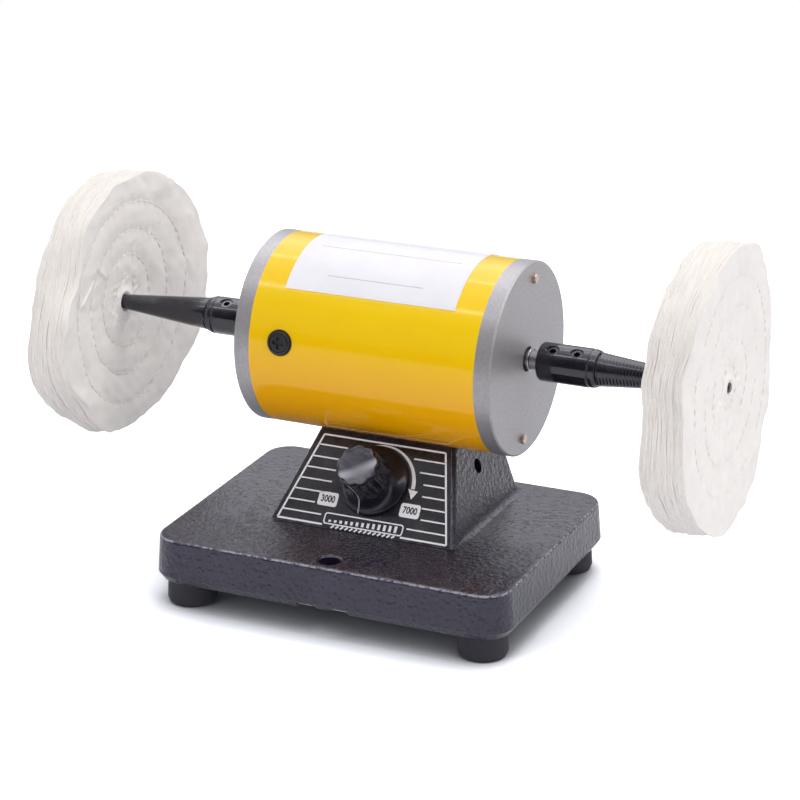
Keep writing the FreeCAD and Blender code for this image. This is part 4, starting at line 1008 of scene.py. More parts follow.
@dataclass
class Buff:
    """Stitched cloth buff: plies with loose edges between two quilted covers (millimetres, degrees)."""
    side: int
    near_outline: tuple[float, ...]      # radii of the ply by the motor, every 15 degrees from the rear upwards
    far_outline: tuple[float, ...]
    folds: tuple[Fold, ...] = ()
    leans: tuple[Lean, ...] = ()
    dish: float = 3.0                    # how far the cover by the motor is drawn in at the middle
    far_dish: float = 1.6
    dished: tuple[float, float] = (6.0, 52.0)        # radii between which the covers are drawn in
    loose: tuple[float, float] = (30.0, 62.0)        # radii between which the plies come loose
    bend: float = 0.35
    spread: float = 0.05
    nose_x: float = 91.9                 # where the nose that carries the buff starts
    nose_r: float = 6.6
    nose_taper: float = 0.0911           # how much thinner the nose gets along its length
    near_x: float = 126.5
    thickness: float = 16.5
    plies: int = 34
    bunch: int = 4                       # plies that hold together
    cover_t: float = 0.55
    rim_round: float = 0.35
    face_rows: int = 92                  # rings of points over a cover's face
    far_hole_r: float = 2.15
    hole_lip: float = 0.8                # how far a cover stands out round its hole
    rows: tuple[float, ...] = (8.4, 19.8, 31.6, 44.3)    # radii of the stitched rows
    row_centre: tuple[float, float] = (0.9, 0.2)
    row_wander: tuple[float, ...] = (0.55, 0.40, 0.22, 0.14)
    row_depths: tuple[float, float] = (0.72, 0.28)       # how deep a row is drawn in, by the motor and far
    stitch_step: float = 4.4
    stitch_half: float = 1.65
    fibre_count: int = 620
    tuft_turn: float = 3.30              # where the rim is frayed most, in radians
    segments: int = 300
    seed: int = 3
    rng: np.random.Generator = field(init=False)

    def __post_init__(self) -> None:
        """Name the buff and seed its chance."""
        self.rng = np.random.default_rng(self.seed)
        self.name = "buff_" + ("right" if self.side > 0 else "left")
        self.turn = circle(self.segments)
        self.row_phases = self.rng.uniform(0, TAU, (len(self.rows), 4))
        self.edges: dict[bool, np.ndarray] = {}

    @staticmethod
    def closed_curve(samples: Sequence[float], turn: np.ndarray) -> np.ndarray:
        """Smooth closed curve through evenly spaced samples.

        Args:
            samples: values round the turn.
            turn: angles at which the curve is wanted.

        Returns:
            The curve's value at each angle.
        """
        terms = np.fft.rfft(samples) / len(samples)
        value = np.full_like(turn, terms[0].real)
        for k in range(1, len(terms)):
            weight = 1 if 2 * k == len(samples) else 2
            value += weight * (terms[k] * np.exp(1j * k * turn)).real
        return value

    def outline(self, share: Any, turn: np.ndarray) -> np.ndarray:
        """Outline radius of a ply, from the motor side (0) to the far side (1)."""
        near, far = self.closed_curve(self.near_outline, turn), self.closed_curve(self.far_outline, turn)
        return near + (far - near) * share

    def nose_radius(self, x: float) -> float:
        """Radius of the hole at a distance from the middle of the machine."""
        return self.nose_r - (x - self.nose_x) * self.nose_taper

    def stand(self, share: Any, radius: np.ndarray, turn: np.ndarray) -> np.ndarray:
        """Where the cloth lies along the spindle.

        Args:
            share: share of the thickness, from the motor side (0) to the far side (1).
            radius: distance from the axis.
            turn: angle in radians.

        Returns:
            Distance from the rim's motor side.
        """
        flat = 1 - ease(radius, *self.dished)
        near = self.dish * flat
        far = self.thickness - self.far_dish * flat
        loose = ease(radius, *self.loose)
        bend = self.bend * loose * (np.cos(2 * turn + 0.9 * self.side) + 0.7 * np.cos(3 * turn + 4.0))
        for lean in self.leans:
            away = np.angle(np.exp(1j * (turn - math.radians(lean.at_deg))))
            bend = bend + lean.reach * loose * np.exp(-(away / math.radians(lean.wide_deg)) ** 2)
        spread = 1 + self.spread * loose * np.cos(2 * turn + 1.0 + self.side)
        return near + (far - near) * (0.5 + (share - 0.5) * spread) - bend

    def place(self, along: np.ndarray, radius: np.ndarray, turn: np.ndarray) -> np.ndarray:
        """Points in metres from millimetres along the spindle, radius and angle."""
        return about_spindle(self.side * (self.near_x + along), radius, turn)

    def row_radius(self, row: int, turn: np.ndarray) -> np.ndarray:
        """Radius of a stitched row, with the wander of hand feeding.

        Args:
            row: number of the row, from the hole outwards.
            turn: angles in radians.

        Returns:
            Radius at each angle.
        """
        shift = self.row_centre[0] * np.cos(turn) + self.row_centre[1] * np.sin(turn)
        waves = sum(size * np.cos((k + 1) * turn + self.row_phases[row, k]) for k, size in enumerate(self.row_wander))
        return self.rows[row] + shift + waves

    def quilting(self, radius: np.ndarray, turn: np.ndarray, rng: np.random.Generator, depth: float) -> np.ndarray:
        """How far a cover stands out: pillows between the rows, puckers across them, soft waves.

        Args:
            radius: distance from the axis.
            turn: angle in radians.
            rng: where its chance comes from.
            depth: how deep a row is drawn in.

        Returns:
            Height over the even face, held above the inside plies.
        """
        gap = np.min([np.abs(radius - self.row_radius(row, turn)) for row in range(len(self.rows))], axis=0)
        y, z = radius * np.cos(turn), radius * np.sin(turn)
        out = -depth * (0.3 * np.exp(-(gap / 0.9) ** 2) + 0.7 * np.exp(-(gap / 3.4) ** 2))
        along_rows = np.exp(-(gap / 2.6) ** 2)
        round_hole = ease(radius, 6.5, 8.5) * (1 - ease(radius, 10, 16))
        loose = ease(radius, 42, 58)
        waves = ((0.16, 4.6, 18, along_rows), (0.12, 8.0, 14, 1.0), (0.26, 24.0, 14, 1.0),
                 (0.26, 3.4, 20, round_hole), (0.34, 18.0, 14, loose), (0.06, 7.0, 14, loose))
        for height, length, count, where in waves:
            out += height * where * crumple(y, z, rng, length, count)
        floor, soft = -1.5 + 1.2 * ease(radius, 46, 56), 0.12
        return floor + soft * np.log1p(np.exp((out - floor) / soft))

    def folded(self, radius: np.ndarray, turn: np.ndarray) -> np.ndarray:
        """Height of the creases on the cover by the motor: steep on one side, soft on the other.

        Args:
            radius: distance from the axis.
            turn: angle in radians.

        Returns:
            Height over the quilted face.
        """
        out = np.zeros_like(radius)
        y, z = radius * np.cos(turn), radius * np.sin(turn)
        for crease in self.folds:
            at, way = math.radians(crease.at_deg), math.radians(crease.way_deg)
            dy, dz = y - crease.radius * math.cos(at), z - crease.radius * math.sin(at)
            along = dy * math.cos(way) + dz * math.sin(way)
            across = -dy * math.sin(way) + dz * math.cos(way)
            width = np.where(across > 0, crease.width, crease.width * 0.22)
            out += crease.height * np.exp(-(along / crease.length) ** 4) * np.exp(-(across / width) ** 2)
        return out

    def cover(self, heap: Heap, far: bool) -> None:
        """Add one outside ply: a quilted face that rolls over at the rim and turns back underneath.

        Args:
            heap: where it goes.
            far: the cover away from the motor.
        """
        share, sign = (1.0, 1.0) if far else (0.0, -1.0)
        hole = self.far_hole_r if far else self.nose_radius(self.near_x + self.dish) + 0.05
        rim = self.outline(share, self.turn) + ripple(self.turn, self.rng, range(5, 60), 0.30)
        chance = np.random.default_rng(self.seed * 7 + (1 if far else 2))
        levels = np.linspace(0, 1, self.face_rows)[:, None] ** 0.92
        radius = hole + (rim[None, :] - self.rim_round - hole) * levels
        turn = np.broadcast_to(self.turn, radius.shape)
        out = self.quilting(radius, turn, chance, self.row_depths[far]) * np.minimum(1.0, levels * 30)
        if not far:
            out = out + self.folded(radius, turn)
        out += self.hole_lip * np.exp(-((radius - hole - 1.3) / 1.7) ** 2) - 1.3 * np.exp(-(levels / 0.012) ** 2)
        rows = list(self.place(self.stand(share, radius, turn) + sign * out, radius, turn))
        self.edges[far] = out[-1]
        face = self.stand(share, rim, self.turn) + sign * out[-1]
        for angle in np.linspace(0.35, math.pi - 0.35, 5):
            reach = rim - self.rim_round + self.rim_round * math.sin(angle)
            rows.append(self.place(face - sign * self.cover_t * (1 - math.cos(angle)) / 2, reach, self.turn))
        for back in (2, 5, 9, 14, 19, 24):
            under = self.stand(share, radius[-back], self.turn) + sign * (out[-back] - self.cover_t)
            rows.append(self.place(under, radius[-back], self.turn))
        grid = np.stack(rows)
        heap.grid(grid if far == (self.side > 0) else grid[:, ::-1])

    def ply(self, heap: Heap, number: int, bunched: tuple[np.ndarray, np.ndarray]) -> None:
        """Add one inside ply as a ring with a blunt, slightly ragged rim.

        Args:
            heap: where it goes.
            number: its number from the motor side.
            bunched: how far its bunch stands along the spindle and outwards, round the turn.
        """
        share = (number + 0.5) / self.plies
        rim = self.outline(share, self.turn) + self.rng.normal(0, 0.08) + bunched[1]
        rim += ripple(self.turn, self.rng, range(3, 40), 0.16) + ripple(self.turn, self.rng, range(50, 130), 0.07)
        wander = bunched[0] + ripple(self.turn, self.rng, range(2, 20), 0.05)
        follow = self.edges[True] * ease(share, 0.5, 1.0) - self.edges[False] * (1 - ease(share, 0.0, 0.5))
        half, blunt = self.thickness / self.plies * 0.57, 0.11
        start = np.minimum(48, rim - 6)
        steps = (0.0, 0.35, 0.75)
        rows = [(start + (rim - start) * part, -1.0) for part in steps]
        rows += [(rim - blunt + blunt * math.sin(a), -math.cos(a) ** 3) for a in (0.35, 1.1, 2.04, 2.79)]
        rows += [(start + (rim - start) * part, 1.0) for part in reversed(steps)]
        points = []
        for radius, offset in rows:
            free = ease(radius, np.minimum(46, rim - 9), np.minimum(55, rim - 2))
            along = self.stand(0.5 + (share - 0.5) * (0.84 + 0.16 * free), radius, self.turn) + half * offset
            along += free * (wander * min(1.0, 6 * share * (1 - share)) + follow)
            points.append(self.place(along, radius, self.turn))
        grid = np.stack(points)
        heap.grid(grid[:, ::-1] if self.side > 0 else grid, close_rows=True)

    def stitches(self) -> bpy.types.Object:
        """Rows of single stitches in both covers.

        Returns:
            All stitches as one object.
        """
        heap = Heap()
        for row, mean in enumerate(self.rows):
            count = int(mean * TAU / self.stitch_step)
            for far, share, sign, arch, thick in ((False, 0.0, -1.0, 0.38, 0.28), (True, 1.0, 1.0, 0.22, 0.22)):
                for number in range(count):
                    middle = (number + 0.35 * far) * TAU / count + self.rng.normal(0, 0.25) / mean
                    angles = middle + np.linspace(-self.stitch_half, self.stitch_half, 7) / mean
                    radius = self.row_radius(row, angles) + self.rng.normal(0, 0.10)
                    height = np.sin(np.linspace(0, math.pi, 7)) * arch - self.row_depths[far] * 0.98
                    along = self.stand(share, radius, angles) + sign * height
                    heap.strand(self.place(along, radius, angles), thick * MM, 6)
        return heap.object(self.name + "_stitching")

    def fibres(self) -> bpy.types.Object:
        """Loose threads and nap that stand off the rim.

        Returns:
            All threads as one object.
        """
        heap = Heap()
        for number in range(self.fibre_count):
            tuft = number % 6 == 0
            turn = self.rng.normal(self.tuft_turn, 0.22) if tuft else self.rng.uniform(0, TAU)
            share = self.rng.uniform(0.0, 1.0)
            angle = np.array([turn])
            radius = self.outline(share, angle) - 0.8
            start = self.place(self.stand(share, radius, angle), radius, angle)[0]
            out = np.array([0.0, math.cos(turn), math.sin(turn)])
            round_way = np.array([0.0, -math.sin(turn), math.cos(turn)])
            lean = self.rng.normal(0, 1.0) * 1.2
            across = np.array([self.rng.normal(0, 0.45), 0, 0])
            length = abs(self.rng.normal(0, 2.3 if tuft else 1.7)) + 1.0
            t = np.linspace(0, 1, 6)[:, None]
            droop = np.array([0, 0, 0.25])
            path = start + MM * length * (t * out * (0.7 if tuft else 0.42) + t ** 2 * round_way * lean
                                          + t * across - t ** 2 * droop)
            heap.strand(path, self.rng.uniform(0.045, 0.085) * MM, 3)
        return heap.object(self.name + "_loose_threads")

    def build(self) -> None:
        """Make the buff, its stitching and its loose threads, and hang them on their body."""
        heap, bunched = Heap(), (np.zeros(self.segments), np.zeros(self.segments))
        for far in (False, True):
            self.cover(heap, far)
        for number in range(1, self.plies - 1):
            if (number - 1) % self.bunch == 0:
                bunched = (ripple(self.turn, self.rng, range(2, 16), 0.19),
                           ripple(self.turn, self.rng, range(3, 24), 0.28) + self.rng.normal(0, 0.12))
            self.ply(heap, number, bunched)
        cloth = finished(heap.object(self.name + "_cloth"), self.name, "buff_cotton", [self.name])
        finished(self.stitches(), self.name, "thread_cotton")
        finished(self.fibres(), self.name, "thread_cotton")


# ---------------------------------------------------------------- spindles
@dataclass
class Spindle:
    """Clamping sleeve and tapered, threaded nose on one shaft end (millimetres, degrees)."""
    side: int
    screw_deg: float
    thread_depth: float = 0.2
    thread_pitch: float = 1.4
    sleeve_start: float = 62.45
    sleeve_end: float = 87.9
    sleeve_r: float = 8.0
    sleeve_round: float = 1.5
    end_r: float = 7.35
    groove_x: float = 84.4
    groove: float = 0.35
    bore_r: float = 4.03
    bore_l: float = 6.0
    nose_start: float = 88.5
    nose_end: float = 142.4
    nose_tip_l: float = 0.8
    root_r: float = 6.9
    tip_r: float = 2.0
    screw_xs: tuple[float, float] = (68.8, 79.1)
    screw_hole_r: float = 2.53
    screw_floor: float = 4.5             # bottom of a screw's hole, from the axis
    segments: int = 128
    hole_segments: int = 48

    def holes(self) -> bpy.types.Object:
        """Round tools for the set screws' holes, wider past the sleeve's skin.

        Returns:
            Both tools as one object.
        """
        angle = math.radians(self.screw_deg)
        way = np.array([0.0, -math.cos(angle), math.sin(angle)])
        across = np.array([0.0, math.sin(angle), math.cos(angle)])
        turn = circle(self.hole_segments)[:, None]
        ring = np.cos(turn) * np.array([1.0, 0, 0]) + np.sin(turn) * across
        wide = self.screw_hole_r + 1.4
        profile = ((self.screw_floor, 1e-3), (self.screw_floor, self.screw_hole_r), (7.55, self.screw_hole_r),
                   (9.2, wide), (9.2, 1e-3))
        cutter = Heap()
        for x in self.screw_xs:
            foot = np.array(AXIS) + np.array([self.side * x * MM, 0, 0])
            cutter.grid(np.stack([foot + way * d * MM + ring * r * MM for d, r in profile]))
        return cutter.object("cutter")

    def sleeve(self) -> bpy.types.Object:
        """Sleeve with a rounded end, a groove, a tapered end and two cross holes.

        Returns:
            The sleeve, closed but for its holes.
        """
        start, end, full, turned = self.sleeve_start, self.sleeve_end, self.sleeve_r, self.sleeve_round
        profile = [(start + self.bore_l, self.bore_r), (start + 0.3, self.bore_r), (start, self.bore_r + 0.3),
                   (start, full - turned - 0.2)]
        for angle in np.radians(180 - 18 * np.arange(6)):
            profile.append((start + turned + turned * math.cos(angle), full - turned + turned * math.sin(angle)))
        x, low = self.groove_x, full - self.groove
        profile += [(x - 0.6, full), (x - 0.12, full - 0.12), (x, low), (x + 0.3, low - 0.15), (x + 0.6, low),
                    (x + 0.75, full - 0.14), (x + 1.1, full - 0.05)]
        profile += [(end - 0.5, self.end_r + 0.12), (end - 0.15, self.end_r - 0.1), (end, self.end_r - 0.5),
                    (end, 6.2), (end + 1.2, 6.1), (end + 1.2, 1.0), (start + self.bore_l, 1.0)]
        heap = Heap()
        heap.grid(spun(profile, self.side, self.segments)[:, ::-1], close_rows=True)
        sleeve = heap.object("sleeve")
        cut_away(sleeve, self.holes())
        return sleeve

    def nose(self) -> bpy.types.Object:
        """Tapered nose with a helical thread.

        Returns:
            The nose, nearly closed at both ends.
        """
        start, end, pitch = self.nose_start, self.nose_end, self.thread_pitch
        along = np.linspace(start, end, int((end - start) / pitch * 12))[:, None]
        turn = circle(self.segments)[None, :]
        taper = self.root_r - (self.root_r - self.tip_r) * (along - start) / (end - start)
        crest = (0.5 + 0.5 * np.cos((along / pitch - self.side * turn / TAU) * TAU)) ** 0.6
        fade = ease(along, start, start + 2) * (1 - ease(along, end - 2.5, end - self.nose_tip_l))
        radius = taper - self.thread_depth * (1 - crest) * fade - 0.25 * (1 - ease(along, start, start + 0.3))
        tip = np.clip((along - end + self.nose_tip_l) / self.nose_tip_l, 0, 1)
        radius = radius - 0.8 * (1 - np.sqrt(1 - 0.98 * tip ** 2))
        grid = about_spindle(along * self.side, radius, turn * self.side)
        ends = []
        for row, share in ((0, 0.3), (-1, 0.02)):
            closed = grid[[row]].copy()
            closed[..., 1:] = (closed[..., 1:] - AXIS[1:]) * share + AXIS[1:]
            ends.append(closed)
        heap = Heap()
        heap.grid(np.concatenate([ends[0], grid, ends[1]])[:, ::-1])
        return heap.object("nose")

    def build(self) -> None:
        """Make the spindle and set it on the rotor."""
        name = "spindle_" + ("right" if self.side > 0 else "left")
        both = bmesh.new()
        for part in (self.sleeve(), self.nose()):
            both.from_mesh(part.data)
            bpy.data.objects.remove(part)
        data = bpy.data.meshes.new(name + "_steel")
        both.to_mesh(data)
        both.free()
        finished(creased(placed(name + "_steel", data), 38), "rotor", "oxide_steel", [name])


# ---------------------------------------------------------------- speed dial
@dataclass
class Dial:
    """Knob, pointer and the print on the sloping plate, in plate coordinates: across, up the plate, outwards.

    Sizes are in millimetres and degrees.
    """
    slope_deg: float = 50.9
    plate_t: float = 0.4
    knob_s: float = 22.705
    skirt_r: float = 15.0
    grip_r: float = 9.2
    lobes: int = 9
    lobe_depth: float = 0.85
    knob_points: int = 270
    ink: float = 0.03
    pointer_deg: float = -100.0
    frame_half: float = 38.4             # half the width of the printed frame at the plate's lower edge
    frame_lean: float = 0.278            # how much narrower that half gets up the plate
    frame_low: float = 1.2
    frame_high: float = 39.3
    frame_gap: float = 17.6              # half the gap in its lower edge
    line_widths: tuple[float, float, float] = (0.8, 0.75, 0.62)      # frame, its upper edge and ruled lines
    # height of each pair of ruled lines, and how near they come to the middle at the left and the right
    ruled: tuple[tuple[float, float, float], ...] = (
        (5.2, 19.2, 19.4), (9.9, 23.4, 24.4), (14.7, 20.6, 23.6), (19.6, 18.4, 22.4), (24.6, 18.0, 21.6),
        (29.5, 18.2, 18.6), (34.8, 15.4, 14.6))
    speeds: tuple[tuple[str, tuple[float, float]], ...] = (("3000", (-18.0, 12.1)), ("7000", (18.8, 12.8)))
    speed_box: tuple[float, float] = (8.8, 6.0)
    ramp_centre: tuple[float, float] = (0.3, 4.1)
    ramp_boxes: tuple[tuple[float, float, float], ...] = ((35.6, 5.0, 1.3), (34.5, 3.9, 0.8))    # wide, tall, round
    ramp_bars: int = 13
    ramp_foot: tuple[float, float] = (-14.6, 2.7)
    ramp_step: float = 2.45
    ramp_rise: tuple[float, float] = (0.9, 1.9)          # height of the first bar and how much the last adds
    ramp_width: float = 1.15
    hatch_bars: int = 14
    hatch_x: float = -13.4
    hatch_step: float = 2.1
    hatch_lean: float = 1.2
    hatch_heights: tuple[float, float] = (0.3, 1.4)
    hatch_width: float = 0.75
    arrow_centre: tuple[float, float] = (1.0, 21.8)
    arrow_r: float = 16.5
    arrow_deg: tuple[float, float] = (114.0, 1.0)        # from its tail to its head
    arrow_half: tuple[float, float] = (0.20, 0.85)       # half its width, there
    arrow_head: tuple[tuple[float, float], ...] = ((15.6, 21.9), (20.0, 21.3), (17.9, 17.6))
    arrow_points: int = 56
    figure_size: float = 4.0
    figure_width: float = 0.80           # as a share of the letters' own width
    figure_bold: float = 0.11            # how far each outline is pushed outwards

    def to_plate(self, obj: bpy.types.Object) -> bpy.types.Object:
        """Move a mesh made in plate coordinates onto the plate."""
        obj.data.transform(Matrix.Translation(PLATE_FOOT) @ Matrix.Rotation(math.radians(self.slope_deg), 4, "X"))
        return obj

    def knob(self) -> bpy.types.Object:
        """Fluted grip on a flared skirt, hollow underneath.

        Returns:
            The knob on its plate.
        """
        # radius and height over the plate of each ring, and its share of the flutes' depth
        profile = ((13.2, 1.7, 0), (13.2, 0.6, 0), (14.6, 0.6, 0), (14.9, 0.72, 0), (self.skirt_r, 1.0, 0),
                   (self.skirt_r, 1.5, 0), (14.88, 1.82, 0), (14.6, 2.05, 0), (14.0, 2.35, 0), (13.0, 2.95, 0),
                   (12.0, 3.75, 0), (11.1, 4.7, 0), (10.4, 5.8, 0.1), (9.85, 7.2, 0.4), (9.5, 9.0, 0.8),
                   (9.3, 11.0, 1.0), (self.grip_r, 14.0, 1.0), (9.1, 18.0, 1.0), (9.05, 19.6, 1.0),
                   (8.9, 20.4, 1.0), (8.6, 20.95, 0.97), (8.15, 21.2, 0.93), (7.7, 21.22, 0.86), (7.2, 21.08, 0.72),
                   (6.5, 20.93, 0.45), (5.4, 20.80, 0.15), (4.0, 20.68, 0.0), (2.5, 20.60, 0.0), (1.2, 20.57, 0.0),
                   (0.02, 20.56, 0.0))
        turn = circle(self.knob_points)
        lobes = 0.5 + 0.5 * np.cos(self.lobes * (turn - math.radians(self.pointer_deg)))
        flute = self.lobe_depth * (1 - lobes ** 0.6)
        heap = Heap()
        rows = [(radius - share * flute, self.plate_t + height) for radius, height, share in profile]
        heap.grid(ring_rows(rows, turn, self.knob_s) * MM)
        return creased(self.to_plate(heap.object("control_knob_fluted")), 50)

    def pointer(self) -> bpy.types.Object:
        """Raised line down the grip and the skirt, over the rim.

        Returns:
            The line on its knob.
        """
        path = ((8.95, 20.3), (9.1, 18.0), (9.2, 14.0), (9.3, 11.0), (9.5, 9.0), (9.85, 7.2), (10.4, 5.8),
                (11.1, 4.7), (12.0, 3.75), (13.0, 2.95), (14.0, 2.35), (14.6, 2.07), (14.95, 1.7), (15.02, 1.0))
        cos, sin = math.cos(math.radians(self.pointer_deg)), math.sin(math.radians(self.pointer_deg))
        rows = []
        for half, lift in ((0.3, -0.1), (0.3, 0.08), (0.14, 0.18), (-0.14, 0.18), (-0.3, 0.08), (-0.3, -0.1)):
            outer = [(r + lift * 0.8, self.plate_t + z + lift * 0.5) for r, z in path]
            rows.append([(r * cos - half * sin, self.knob_s + r * sin + half * cos, z) for r, z in outer])
        heap = Heap()
        heap.grid(np.array(rows) * MM, close_rows=True, close_columns=False)
        return self.to_plate(heap.object("knob_pointer"))

    def flat(self, heap: Heap, outline: np.ndarray, faces: Sequence[Sequence[int]]) -> None:
        """Add a flat printed shape.

        Args:
            heap: where it goes.
            outline: (n, 2) points on the plate.
            faces: corner numbers of each face.
        """
        points = np.column_stack([outline, np.full(len(outline), self.plate_t + self.ink)])
        heap.add(points * MM, faces)

    def bar(self, heap: Heap, start: tuple[float, float], end: tuple[float, float], width: float) -> None:
        """Add one printed line.

        Args:
            heap: where it goes.
            start: one end, on the plate.
            end: the other end.
            width: its width.
        """
        first, last = np.array(start), np.array(end)
        way = (last - first) / (np.linalg.norm(last - first) + 1e-9)
        off = np.array([-way[1], way[0]]) * width / 2
        self.flat(heap, np.array([first + off, first - off, last - off, last + off]), [(0, 1, 2, 3)])

    def rounded(self, centre: tuple[float, float], size: tuple[float, float], radius: float) -> np.ndarray:
        """Outline of a rounded rectangle.

        Args:
            centre: its middle.
            size: its two sides.
            radius: radius of its corners.

        Returns:
            (n, 2) points.
        """
        points = []
        for number, (sx, sy) in enumerate(((1, 1), (-1, 1), (-1, -1), (1, -1))):
            for k in range(7):
                angle = math.radians(90 * number + 15 * k)
                points.append((centre[0] + sx * (size[0] / 2 - radius) + radius * math.cos(angle),
                               centre[1] + sy * (size[1] / 2 - radius) + radius * math.sin(angle)))
        return np.array(points)

    def edge(self, s: float) -> float:
        """Half the width of the printed frame at a height up the plate."""
        return self.frame_half - self.frame_lean * s

    def frame_lines(self, heap: Heap) -> None:
        """Add the frame, open at the ramp's box, and the ruled lines.

        Args:
            heap: where they go.
        """
        low, high = self.frame_low, self.frame_high
        frame_w, upper_w, ruled_w = self.line_widths
        for side in (-1, 1):
            self.bar(heap, (side * self.edge(low), low), (side * self.edge(high), high), frame_w)
            self.bar(heap, (side * self.frame_gap, low), (side * self.edge(low), low), frame_w)
        self.bar(heap, (-self.edge(high), high), (self.edge(high), high), upper_w)
        for s, left, right in self.ruled:
            self.bar(heap, (-self.edge(s), s), (-left, s), ruled_w)
            self.bar(heap, (right, s), (self.edge(s), s), ruled_w)

    def ramp(self, heap: Heap) -> None:
        """Add a box with rising bars and a row of hatches under it.

        Args:
            heap: where they go.
        """
        both = np.concatenate([self.rounded(self.ramp_centre, (wide, tall), corner)
                               for wide, tall, corner in self.ramp_boxes])
        count = len(both) // 2
        self.flat(heap, both, [(k, (k + 1) % count, count + (k + 1) % count, count + k) for k in range(count)])
        (first, low), (least, more) = self.ramp_foot, self.ramp_rise
        for number in range(self.ramp_bars):
            x, tall = first + number * self.ramp_step, least + more * number / (self.ramp_bars - 1)
            self.bar(heap, (x, low), (x, low + tall), self.ramp_width)
        start, end = self.hatch_heights
        for number in range(self.hatch_bars):
            x = self.hatch_x + number * self.hatch_step
            self.bar(heap, (x, start), (x + self.hatch_lean, end), self.hatch_width)

    def arrow(self, heap: Heap) -> None:
        """Add the arrow over the knob, which widens towards its head.

        Args:
            heap: where it goes.
        """
        steps, top = self.arrow_points, self.plate_t + self.ink
        turn = np.radians(np.linspace(*self.arrow_deg, steps))
        half = np.linspace(*self.arrow_half, steps)
        ends = [np.stack([self.arrow_centre[0] + (self.arrow_r + sign * half) * np.cos(turn),
                          self.arrow_centre[1] + (self.arrow_r + sign * half) * np.sin(turn),
                          np.full(steps, top)], -1) for sign in (-1, 1)]
        heap.grid(np.stack(ends) * MM, close_columns=False)
        self.flat(heap, np.array(self.arrow_head), [(0, 2, 1)])

    def printing(self) -> bpy.types.Object:
        """White frame, ruled lines, number boxes, speed ramp and arrow.

        Returns:
            The print as one object.
        """
        heap = Heap()
        self.frame_lines(heap)
        for _, centre in self.speeds:
            outline = self.rounded(centre, self.speed_box, 1.1)
            self.flat(heap, outline, [tuple(range(len(outline)))])
        self.ramp(heap)
        self.arrow(heap)
        return self.to_plate(heap.object("dial_print", smooth=False))

    def digits(self) -> bpy.types.Object:
        """The two speeds, as dark figures in their boxes.

        Returns:
            Both numbers as one object.
        """
        heap = Heap()
        for text, centre in self.speeds:
            curve = bpy.data.curves.new("figures", "FONT")
            curve.body, curve.size, curve.offset = text, self.figure_size * MM, self.figure_bold * MM
            curve.align_x, curve.align_y = "CENTER", "CENTER"
            label = placed("figures", curve)
            data = settled(label)
            points = np.array([tuple(v.co) for v in data.vertices])
            points[:, 0] = points[:, 0] * self.figure_width + centre[0] * MM
            points[:, 1] += centre[1] * MM
            points[:, 2] = (self.plate_t + self.ink * 2) * MM
            heap.add(points, [tuple(p.vertices) for p in data.polygons])
            bpy.data.objects.remove(label)
        return self.to_plate(heap.object("dial_figures", smooth=False))

    def build(self) -> None:
        """Make the dial's pieces."""
        finished(self.knob(), "knob", "knob_plastic", ["control_knob"])
        finished(self.pointer(), "knob", "pointer_grey")
        finished(self.printing(), "root", "print_white")
        finished(self.digits(), "root", "print_black")


# ---------------------------------------------------------------- motor
@dataclass
class BrushCap:
    """Screw cap over a brush: rounded ring, groove and a flat middle with a cross recess (millimetres, degrees)."""
    name: str
    clock_deg: float
    place_x: float = -35.6
    seat: float = 40.4                   # from the motor's axis to the cap's underside
    rim_r: float = 4.85
    thread_r: float = 4.2
    plug: float = 4.6
    cross: tuple[float, float, float] = (5.4, 1.75, 0.9)     # long, wide and deep
    cross_taper: float = 0.9
    segments: int = 96

    def matrix(self) -> Matrix:
        """From cap coordinates, outwards along Z, to the machine.

        Returns:
            The matrix, in metres.
        """
        clock = math.radians(self.clock_deg)
        up, across = Vector((0, -math.cos(clock), math.sin(clock))), Vector((1, 0, 0))
        turn = Matrix((across, up.cross(across), up)).transposed().to_4x4()
        return Matrix.Translation((self.place_x * MM, AXIS[1], AXIS[2])) @ turn

    def arm(self, long: float, wide: float) -> bpy.types.Object:
        """Tool for one arm of the cross recess.

        Args:
            long: its size across X.
            wide: its size across Y.

        Returns:
            A block that is narrower at the bottom.
        """
        low, high = self.seat + 1.0 - self.cross[2], self.seat + 2.0
        corners = [(sx * long / 2, sy * wide / 2) for sx, sy in ((-1, -1), (1, -1), (1, 1), (-1, 1))]
        points = [(x * self.cross_taper, y * self.cross_taper, low) for x, y in corners]
        points += [(x, y, high) for x, y in corners]
        sides = [(k, (k + 1) % 4, 4 + (k + 1) % 4, 4 + k) for k in range(4)]
        heap = Heap()
        heap.add(np.array(points) * MM, [(3, 2, 1, 0), (4, 5, 6, 7)] + sides)
        return heap.object("cutter", smooth=False)

    def build(self) -> None:
        """Turn the cap, cut its recess and set it on the motor."""
        rows = [(0.02, -self.plug), (self.thread_r - 0.5, -self.plug), (self.thread_r, -self.plug + 0.5),
                (self.thread_r, 0.02), (self.rim_r - 0.1, 0.02), (self.rim_r, 0.15), (self.rim_r, 0.62),
                (4.74, 0.85), (4.5, 0.98), (4.25, 1.0), (4.12, 0.92), (4.05, 0.55), (3.95, 0.5), (3.85, 0.55),
                (3.78, 0.86), (3.66, 0.96), (3.2, 0.99), (2.4, 1.0), (0.02, 1.0)]
        heap = Heap()
        heap.grid(ring_rows([(r, z + self.seat) for r, z in rows], circle(self.segments)) * MM)
        cap = heap.object("brush_cap_" + self.name + "_screw")
        long, wide, _ = self.cross
        for size in ((long, wide), (wide, long)):
            cut_away(cap, self.arm(*size))
        cap.data.transform(self.matrix())
        finished(creased(cap, 35), "root", "black_plastic", ["brush_cap_" + self.name])


